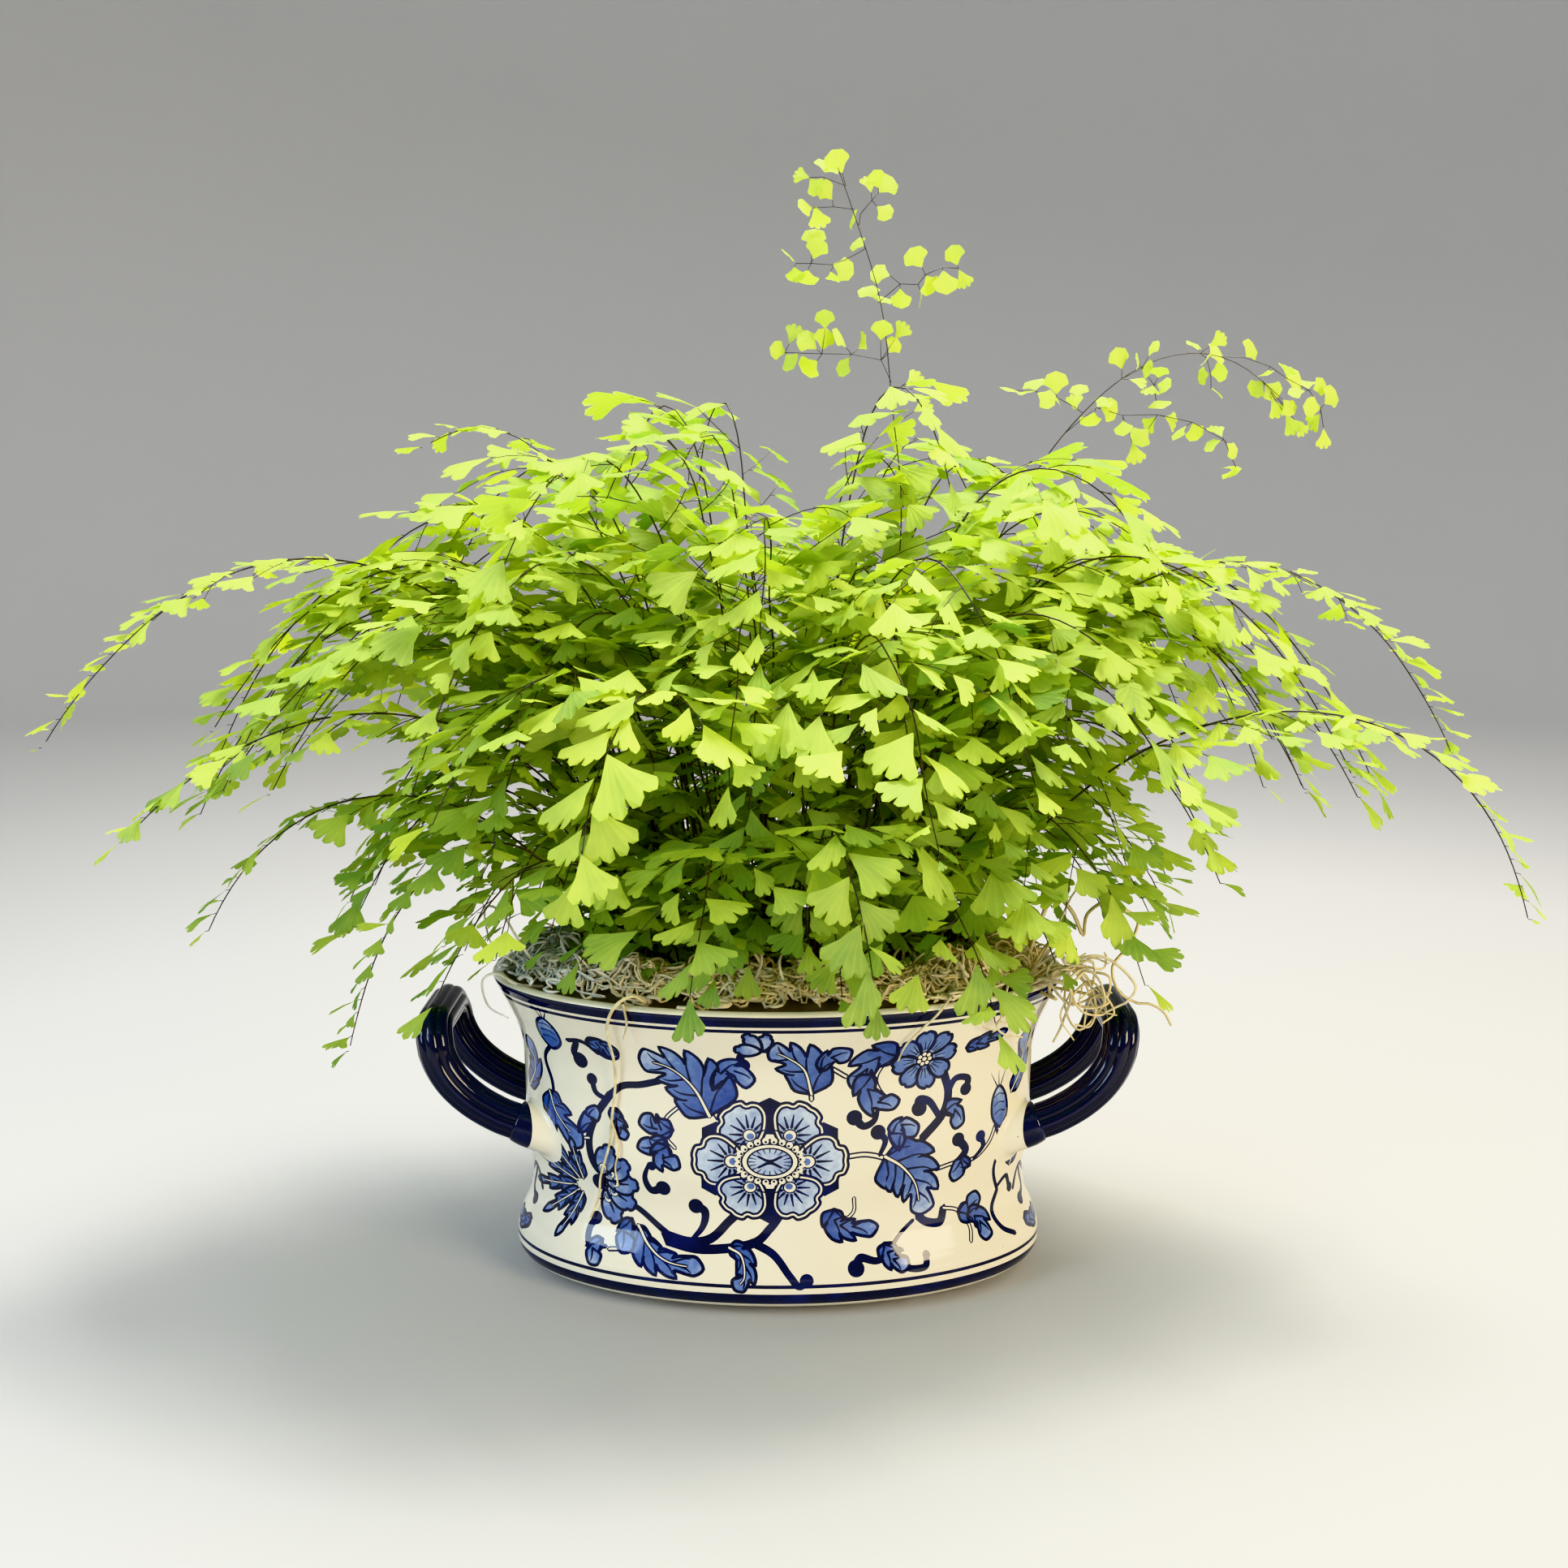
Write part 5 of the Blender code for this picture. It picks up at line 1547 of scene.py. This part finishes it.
class Frond:
    """A stem that arches along a Bezier curve, and the curved sheet that its leaflets lie in."""

    STEPS = 48

    def __init__(self, name, points, facing, bare, half_width, leaflet, roll=0.0, droop=DROOP):
        self.name = name
        self.droop = droop
        facing = math.radians(facing)
        self.flat_side = Vector((-math.sin(facing), math.cos(facing), 0))
        self.half_width = half_width
        self.leaflet = leaflet
        self.roll = math.radians(roll)
        self.spine = []
        for i in range(self.STEPS + 1):
            weights = bezier_weights(i / self.STEPS)
            self.spine.append(sum((Vector(p) * w for p, w in zip(points, weights)), Vector()))
        surfaced = next(i for i, p in enumerate(self.spine) if p.z > SOIL_TOP + EMERGE)
        self.spine = self.spine[:1] + self.spine[surfaced:]
        self.marks = [0.0]
        for a, b in zip(self.spine, self.spine[1:]):
            self.marks.append(self.marks[-1] + (b - a).length)
        self.length = self.marks[-1]
        self.bare = bare * self.length

    def axis_at(self, along):
        """Position and direction of the stem."""
        i = next((i for i in range(len(self.marks) - 2) if along < self.marks[i + 1]),
                 len(self.marks) - 2)
        step = self.marks[i + 1] - self.marks[i]
        share = (along - self.marks[i]) / step
        here = (self.spine[i + 1] - self.spine[i]) / step
        if i == 0:
            return self.spine[0] + here * along, here
        last = min(i + 2, len(self.spine) - 1)
        before = (self.spine[i + 1] - self.spine[i - 1]).normalized()
        after = (self.spine[last] - self.spine[i]).normalized()
        direction = before.lerp(after, min(share, 1.0)).normalized()
        return self.spine[i].lerp(self.spine[i + 1], share), direction

    def place(self, along, across, lift=0.0):
        """The point of the sheet at a distance along the stem, across it and above it."""
        centre, direction = self.axis_at(along)
        side = (self.flat_side - direction * self.flat_side.dot(direction)).normalized()
        face = direction.cross(side)
        share = min(max(along / self.bare - ROLL_START, 0) / (1 - ROLL_START), 1)
        turn = self.roll * share * share * (3 - 2 * share)
        across_way = side * math.cos(turn) + face * math.sin(turn)
        face = face * math.cos(turn) - side * math.sin(turn)
        return centre + across_way * across + face * lift - UP * (self.droop * across * across)

    def facing_at(self, along, across, turn):
        """Axes of a leaflet: along it, across it and out of its upper face."""
        here = self.place(along, across)
        ahead = (self.place(along + 1, across) - here).normalized()
        side = (self.place(along, across + 1) - here).normalized()
        x = (ahead * math.cos(turn) + side * math.sin(turn)).normalized()
        z = ahead.cross(side).normalized()
        y = z.cross(x).normalized()
        return Matrix((x, y, z)).transposed()


def ring_fronds(rings, prefix, bare=RING_BARE, gather=0.0):
    """Fronds that rise from ovals in the soil and lean outwards to ovals of tips."""
    fronds, number = [], 0
    root_weight, rise_weight, over_weight, tip_weight = bezier_weights(CREST_SHARE)
    for count, root_oval, tip_oval, tip_z, crest, first_turn, half_width, leaflet, roll in rings:
        for i in range(count):
            number += 1
            turn = math.radians(first_turn + 360 * (i + TURN_DRAW * jitter(number, 1)) / count)
            turn -= gather * math.sin(2 * turn)
            grow = 1 + REACH_DRAW * jitter(number, 2)
            root = Vector((root_oval[0] * math.cos(turn), root_oval[1] * math.sin(turn),
                           SOIL_TOP - ROOT_DEPTH))
            tip = Vector((tip_oval[0] * grow * math.cos(turn),
                          tip_oval[1] * grow * math.sin(turn) + LEAN_BACK,
                          tip_z + TIP_DRAW * jitter(number, 3)))
            top = crest + (WAVE if i % 2 else -WAVE) + CREST_DRAW * jitter(number, 4)
            pull = (top - root_weight * root.z - tip_weight * tip.z) / (rise_weight + over_weight)
            out = Vector((tip.x - root.x, tip.y - root.y, 0))
            rise = root + out * RISE_OUT
            rise.z = pull
            over = root + out * OVER_OUT
            over.z = pull
            facing = math.degrees(math.atan2(out.y, out.x))
            fronds.append(Frond(f"{prefix}_{number:02d}", [root, rise, over, tip], facing, bare,
                                half_width, leaflet, roll))
    return fronds


def list_fronds():
    """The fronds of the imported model."""
    fronds = ring_fronds(RINGS, "frond")
    for name, *rest in SOLO:
        droop = DROOP if name.startswith(("front", "tall")) else DROOP * SIDE_DROOP
        fronds.append(Frond("frond_" + name, *rest, droop=droop))
    return fronds


# Leaflet shapes: first and last angle of the fan, lobes, length at the last angle, depth of slits
LEAFLETS = [(-35, 35, 4, 0.90, 0.20), (-46, 46, 4, 0.80, 0.20), (-7, 48, 4, 0.50, 0.19),
            (-48, 7, 4, 0.50, 0.19), (-27, 27, 3, 0.94, 0.20), (-52, 52, 2, 0.74, 0.04)]
FAN, BROAD, UPWARD, DOWNWARD, NARROW, ROUND = range(6)


def leaflet_shape(number, thickness):
    """A closed, lobed fan blade of unit length, its base at the origin and its midrib along +X."""
    low, high, lobes, end_length, slit = LEAFLETS[number]
    widest = math.radians(max(abs(low), abs(high)))

    def spot(share, radius):
        angle = math.radians(low + (high - low) * share)
        radius *= 1 - (1 - end_length) * (abs(angle) / widest) ** 1.5
        x, y = radius * math.cos(angle), radius * math.sin(angle)
        ripple = 0.04 * math.sin(7 * angle + number) * radius * radius
        return x, y, ripple - 0.16 * x * x - 0.22 * y * y + 0.10 * x

    middle = [spot(0.5 + 0.84 * (i / (2 * lobes) - 0.5), 0.5) for i in range(2 * lobes + 1)]
    rim = [spot(0, 0.90)]
    for k in range(lobes):
        deep = slit * (0.7, 1.25)[k % 2]
        for share, radius in ((0.14, 0.945), (0.5, 1.0), (0.86, 0.945), (1.0, 1 - deep)):
            rim.append(spot((k + share) / lobes, radius))
    rim[-1] = spot(1, 0.90)
    under = [(x, y, z - thickness) for x, y, z in middle[1:-1]]
    points = [(0, 0, 0)] + middle + rim + under
    edge, below = len(middle) + 1, len(middle) + len(rim)
    faces = []
    for k in range(2 * lobes):
        out = edge + 2 * k
        faces += [(0, k + 1, k + 2), (k + 1, out, out + 1, out + 2, k + 2)]
    lower = {i: below + i - 1 for i in range(2, len(middle))}
    faces += [tuple(lower.get(i, i) for i in reversed(face)) for face in faces[:]]
    mesh = mesh_of(f"leaflet_{number}", points, faces, smooth_angle=60, scale=1)
    layer = mesh.uv_layers.new(name="UVMap")
    for loop in mesh.loops:
        point = mesh.vertices[loop.vertex_index].co
        layer.data[loop.index].uv = (0.5 + 0.5 * point.y, point.x)
    return bpy.data.objects.new(f"leaflet_{number}", mesh)


def past_box(place):
    """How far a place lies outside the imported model's box, in millimetres."""
    return max(max(low / MM - at, at - high / MM)
               for low, at, high in zip(CAD_BOX[0], place, CAD_BOX[1]))


class Sprig:
    """The lines and leaf points of one frond."""

    def __init__(self, frond, look, painted_shade=0.0):
        self.frond = frond
        self.look = look
        self.draw = random.Random(f"{look.seed} {frond.name}")
        self.lines = []
        self.leaves = []
        self.size = frond.leaflet * look.leaf_share
        # The tone differs at random from frond to frond, and is darkened by the painted shade of
        # fronds deep in the dome.
        self.mood = self.draw.uniform(-0.18, 0.18) - painted_shade
        self.level = FRONT_LEVEL if "front" in frond.name else look.level
        self.thin = look.tip_radius / MM

    def radius(self, share):
        """Radius of the stem at a share of its length."""
        thick, thin = self.look.stem_radius / MM, self.thin
        if self.frond.name in TIERS:
            thick, thin = 0.7 * thick, 0.7 * thin
        return thick + (thin - thick) * min(1.0, share)

    def twig(self, points, thick, thin):
        """A line whose radius runs evenly from thick to thin."""
        last = len(points) - 1
        radii = [thick + (thin - thick) * i / last for i in range(len(points))]
        self.lines.append((points, radii, STEM_TONE))

    def leaf(self, along, across, turn, size, shape, stalk=1.6):
        """A leaflet on a short stalk at a place of the sheet, tilted a little at random."""
        frond, draw = self.frond, self.draw
        base = frond.place(along, across)
        axes = frond.facing_at(along, across, turn)
        up = axes.col[2].lerp(UP, self.level).normalized()
        ahead = (axes.col[0] - up * axes.col[0].dot(up)).normalized()
        start = frond.place(along, across, 0.8) + ahead * stalk
        # Painted light and shade: the tone is paler high up and far out, deeper low and inside the
        # dome.
        height = (start.z - DOME_LOW) / DOME_TALL
        outward = math.hypot(start.x / DOME_WIDE, start.y / DOME_DEEP)
        tone = 0.02 + 0.60 * height + 0.40 * outward + self.mood + draw.gauss(0, 0.16)
        size *= draw.uniform(*SIZE_DRAW)
        while size > SMALLEST_LEAF and past_box(start + ahead * size) > BOX_SPARE:
            size *= 0.9
        self.put_leaf(start, ahead, up, size, shape, tone)
        self.twig([base, start + ahead * 0.8], 0.6 * self.thin, 0.6 * self.thin)

    def put_leaf(self, start, ahead, up, size, shape, tone):
        draw = self.draw
        axes = Matrix((ahead, up.cross(ahead), up)).transposed()
        tilt = Euler([math.radians(draw.gauss(middle, wide)) for middle, wide in LEAF_TILT])
        turn = tuple((axes @ tilt.to_matrix()).to_euler())
        self.leaves.append((start, turn, size * MM, shape, clamped(tone)))

    def side_rib(self, along, hand, reach, share):
        """A side rib on one hand, with leaflets to both sides and one at its end."""
        draw = self.draw
        lean = math.radians(draw.uniform(*RIB_LEAN))
        size = self.size * (1 - 0.38 * share)
        steps = max(3, round(reach / RIB_STEP))
        step = reach / steps
        places = [(along, 0.0)]
        for i in range(steps):
            turn = lean * (1 - 0.28 * i / steps) + math.radians(draw.uniform(-3, 3))
            a, c = places[-1]
            places.append((a + step * math.cos(turn), c + hand * step * math.sin(turn)))
        points = [self.frond.place(*p) for p in places]
        self.twig(points, 0.62 * self.radius(0.45 + 0.5 * share), 0.7 * self.thin)
        spacing = self.look.leaf_spacing * size
        long = sum(math.dist(a, b) for a, b in zip(points, points[1:]))
        count = max(1, int((long - 0.3 * size) / spacing))
        for i in range(count):
            at = (0.22 * size + spacing * (i + 0.15 * draw.random())) / long * steps
            k = min(int(at), steps - 1)
            (a0, c0), (a1, c1) = places[k], places[k + 1]
            t = min(at - k, 1.0)
            side = 1 if i % 2 else -1
            turn = math.atan2(c1 - c0, a1 - a0) + side * math.radians(draw.uniform(*LEAF_OPEN))
            shape = UPWARD if side < 0 else DOWNWARD
            if draw.random() < MIXED_LEAVES:
                shape = draw.choice((FAN, BROAD))
            self.leaf(a0 + (a1 - a0) * t, c0 + (c1 - c0) * t, turn, size * (1 - 0.25 * i / count),
                      shape)
        (a0, c0), (a1, c1) = places[-2:]
        self.leaf(a1, c1, math.atan2(c1 - c0, a1 - a0), 0.92 * size, FAN, 0.4)

    def grow(self):
        """The whole frond: its stem, then side ribs, then single leaflets towards the tip."""
        frond, look, draw = self.frond, self.look, self.draw
        wave, phase = draw.uniform(60, 110), draw.uniform(0, NEAR_TURN)
        end = frond.length
        stations = [0.0, frond.marks[1]]
        while stations[-1] < end - 6:
            stations.append(min(end, stations[-1] + STEM_STEP))
        points = []
        for along in stations:
            sway = 0.9 * math.sin(along / wave * NEAR_TURN + phase) * min(1, along / 200)
            points.append(frond.place(along, sway if along > frond.marks[1] else 0))
        self.lines.append((points, [self.radius(s / end) for s in stations], STEM_TONE))
        if frond.name in TIERS:
            return self.grow_tiers(*TIERS[frond.name])
        leafy = end - frond.bare
        along, hand = frond.bare + 0.02 * leafy, 1
        while along < end - 0.3 * self.size:
            share = (along - frond.bare) / leafy
            reach = frond.half_width * (1 - share) ** 0.7 * draw.uniform(0.86, 1.1)
            if reach > 1.35 * self.size * (1 - 0.4 * share):
                self.side_rib(along, hand, reach, share)
                along += look.rib_spacing / MM * (1 - 0.25 * share)
            else:
                size = self.size * (1 - 0.3 * share)
                turn = hand * math.radians(draw.uniform(*TIP_OPEN))
                shape = draw.choice((UPWARD if hand < 0 else DOWNWARD, FAN))
                self.leaf(along, 0, turn, size, shape)
                along += 0.40 * size
            hand = -hand
        self.leaf(end, 0, 0.0, 0.6 * self.size, NARROW, 0.3)
        return self

    def grow_tiers(self, axis, rows):
        """A few twigs with small round leaflets, which face the front."""
        frond, draw = self.frond, self.draw
        keys = [p[axis] for p in frond.spine]
        thin = 0.7 * self.thin
        for start, twig, leaves in rows:
            base = frond.place(float(np.interp(start, keys, frond.marks)), 0)
            line = [base] + [Vector((x, base.y + draw.uniform(-5, 5), z)) for x, z in twig]
            self.lines.append((line, [thin] * len(line), STEM_TONE))
            for x, z in leaves:
                size = draw.uniform(*TIER_LEAF)
                centre = Vector((x, base.y + draw.uniform(-7, 7), z))
                near = min(line, key=lambda p: (p - centre).length)
                ahead = (centre - near).normalized()
                root = centre - ahead * 0.5 * size
                up = Vector((draw.gauss(0, 0.35), -1, draw.gauss(0.4, 0.35)))
                up = (up - ahead * up.dot(ahead)).normalized()
                # Tier leaflets lie high up, so they get a pale tone: painted light, with random
                # tone.
                self.put_leaf(root, ahead, up, size, ROUND if draw.random() < 0.7 else FAN,
                              draw.uniform(0.8, 1.0))
                self.twig([near, root], thin, 0.7 * thin)
        return self


class FERN_OT_fronds(bpy.types.Operator):
    """Grow every frond with its side ribs and leaflets"""

    bl_idname = "fern.fronds"
    bl_label = "Fronds"

    def execute(self, context):
        look = context.scene.fern_fern
        unit_size = look.leaf_share * USUAL_LEAFLET
        shapes = bpy.data.collections.new("leaflet_shapes")
        for number in range(len(LEAFLETS)):
            shapes.objects.link(leaflet_shape(number, look.thickness / MM / unit_size))
        tree, sockets = frond_tree()
        values = {"Leaflets": shapes, "Rib sides": 5, "Leaf finish": leaf_finish(look),
                  "Stem finish": stem_finish(look)}

        def grown(name, sprigs):
            source = lines_mesh(name, [line for sprig in sprigs for line in sprig.lines],
                                [leaf for sprig in sprigs for leaf in sprig.leaves])
            return grown_mesh(name, source, tree, sockets, values)

        for frond in list_fronds():
            low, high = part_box(frond.name)
            root = frond.spine[0] * MM
            if any(not low[i] - ROOT_SPARE < root[i] < high[i] + ROOT_SPARE for i in (0, 1)):
                raise RuntimeError(f"{frond.name} doesn't start where its CAD node does")
            mesh = grown(frond.name, [Sprig(frond, look).grow()])
            keep(frond.name + "_leafy", mesh, [frond.name])
        for name, bare, painted_shade, gather, ring in YOUNG_RINGS:
            fronds = ring_fronds([ring], name, bare, gather)
            mesh = grown(name, [Sprig(frond, look, painted_shade).grow() for frond in fronds])
            keep(name, mesh, [])
        for shape in list(shapes.objects):
            bpy.data.objects.remove(shape)
        bpy.data.collections.remove(shapes)
        return {"FINISHED"}


def lamp(name, place, aim, size, power, tint):
    data = bpy.data.lights.new(name, "AREA")
    data.shape = "RECTANGLE"
    data.size, data.size_y = size
    data.energy = power
    data.color = tint
    holder = linked(name, data)
    holder.location = place
    holder.rotation_euler = (Vector(aim) - Vector(place)).to_track_quat("-Z", "Y").to_euler()


class FERN_OT_stage(bpy.types.Operator):
    """Set the camera, the pale floor and the soft studio light"""

    bl_idname = "fern.stage"
    bl_label = "Stage"

    def execute(self, context):
        look = context.scene.fern_stage
        scene = context.scene
        data = bpy.data.cameras.new("camera")
        data.sensor_width = SENSOR
        data.lens = CAMERA_LENS
        scene.camera = linked("camera", data)
        scene.camera.location = CAMERA_PLACE
        scene.camera.rotation_euler = (math.radians(90 - CAMERA_TILT), 0, 0)
        finish = Finish("pale_floor", look.floor, 0.6)
        finish.feed("Base Color", finish.mix(finish.grain(3), look.floor,
                                             scaled(look.floor, 0.97)))
        mesh = sweep_mesh()
        mesh.materials.append(finish.material)
        floor = linked("floor", mesh)
        floor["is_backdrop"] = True
        world = bpy.data.worlds.new("studio")
        world.use_nodes = True
        back = world.node_tree.nodes["Background"]
        back.inputs["Color"].default_value = (0.86, 0.88, 0.92, 1)
        back.inputs["Strength"].default_value = 0.94 * look.light
        scene.world = world
        scene.view_settings.view_transform = "Khronos PBR Neutral"
        for name, place, aim_height, size, power, tint in LAMPS:
            lamp(name, place, (0, 0, aim_height), size, power * look.light, tint)
        return {"FINISHED"}


def sweep_mesh(sides=96, steps=12):
    """A round floor that sweeps up into a wall on all sides, in metres."""
    profile = [(0.0, 0.8), (0.0, FLOOR_FLAT)]
    for turn in (math.pi / 2 * i / steps for i in range(1, steps + 1)):
        profile.append((FLOOR_BEND * (1 - math.cos(turn)),
                        FLOOR_FLAT + FLOOR_BEND * math.sin(turn)))
    profile.append((FLOOR_TOP, FLOOR_FLAT + FLOOR_BEND))
    rows = round_rows(Vector(), profile, sides)
    faces = [(0, 1 + i, 1 + (i + 1) % sides) for i in range(sides)]
    for start in range(1, 1 + sides * (len(rows) - 1), sides):
        for i in range(sides):
            a, b = start + i, start + (i + 1) % sides
            faces.append((a, a + sides, b + sides, b))
    mesh = mesh_of("floor", [(0.0, 0.0, 0.0)] + [p for row in rows for p in row], faces, scale=1)
    mesh.shade_smooth()
    return mesh


class FERN_PT_panel(bpy.types.Panel):
    """Lists the pieces and their sizes and colours"""

    bl_label = "Potted fern"
    bl_idname = "FERN_PT_panel"
    bl_space_type = "VIEW_3D"
    bl_region_type = "UI"
    bl_category = "Fern"

    def draw(self, context):
        for label, group, operators in PANEL_ROWS:
            box = self.layout.box()
            box.label(text=label)
            look = getattr(context.scene, group)
            for name in look.__annotations__:
                box.prop(look, name)
            for operator in operators:
                box.operator(operator.bl_idname)


PANEL_ROWS = [
    ("Stage", "fern_stage", [FERN_OT_stage]),
    ("Planter", "fern_planter", [FERN_OT_pot, FERN_OT_handles, FERN_OT_pads]),
    ("Soil and moss", "fern_moss", [FERN_OT_soil, FERN_OT_moss]),
    ("Fern", "fern_fern", [FERN_OT_fronds]),
]
GROUPS = [("fern_stage", FERN_PG_stage), ("fern_planter", FERN_PG_planter),
          ("fern_moss", FERN_PG_moss), ("fern_fern", FERN_PG_fern)]
OPERATORS = [operator for _, _, operators in PANEL_ROWS for operator in operators]


def register():
    for name, group in GROUPS:
        bpy.utils.register_class(group)
        setattr(bpy.types.Scene, name, PointerProperty(type=group))
    for operator in OPERATORS:
        bpy.utils.register_class(operator)
    bpy.utils.register_class(FERN_PT_panel)


def unregister():
    bpy.utils.unregister_class(FERN_PT_panel)
    for operator in reversed(OPERATORS):
        bpy.utils.unregister_class(operator)
    for name, group in reversed(GROUPS):
        delattr(bpy.types.Scene, name)
        bpy.utils.unregister_class(group)


def main():
    register()
    for operator in OPERATORS:
        group, name = operator.bl_idname.split(".")
        getattr(getattr(bpy.ops, group), name)()
    boxes = {"cad": CAD_BOX, "visual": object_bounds()}
    {k: [list(corner) for corner in box] for k, box in boxes.items()}


if __name__ == "__main__":
    main()
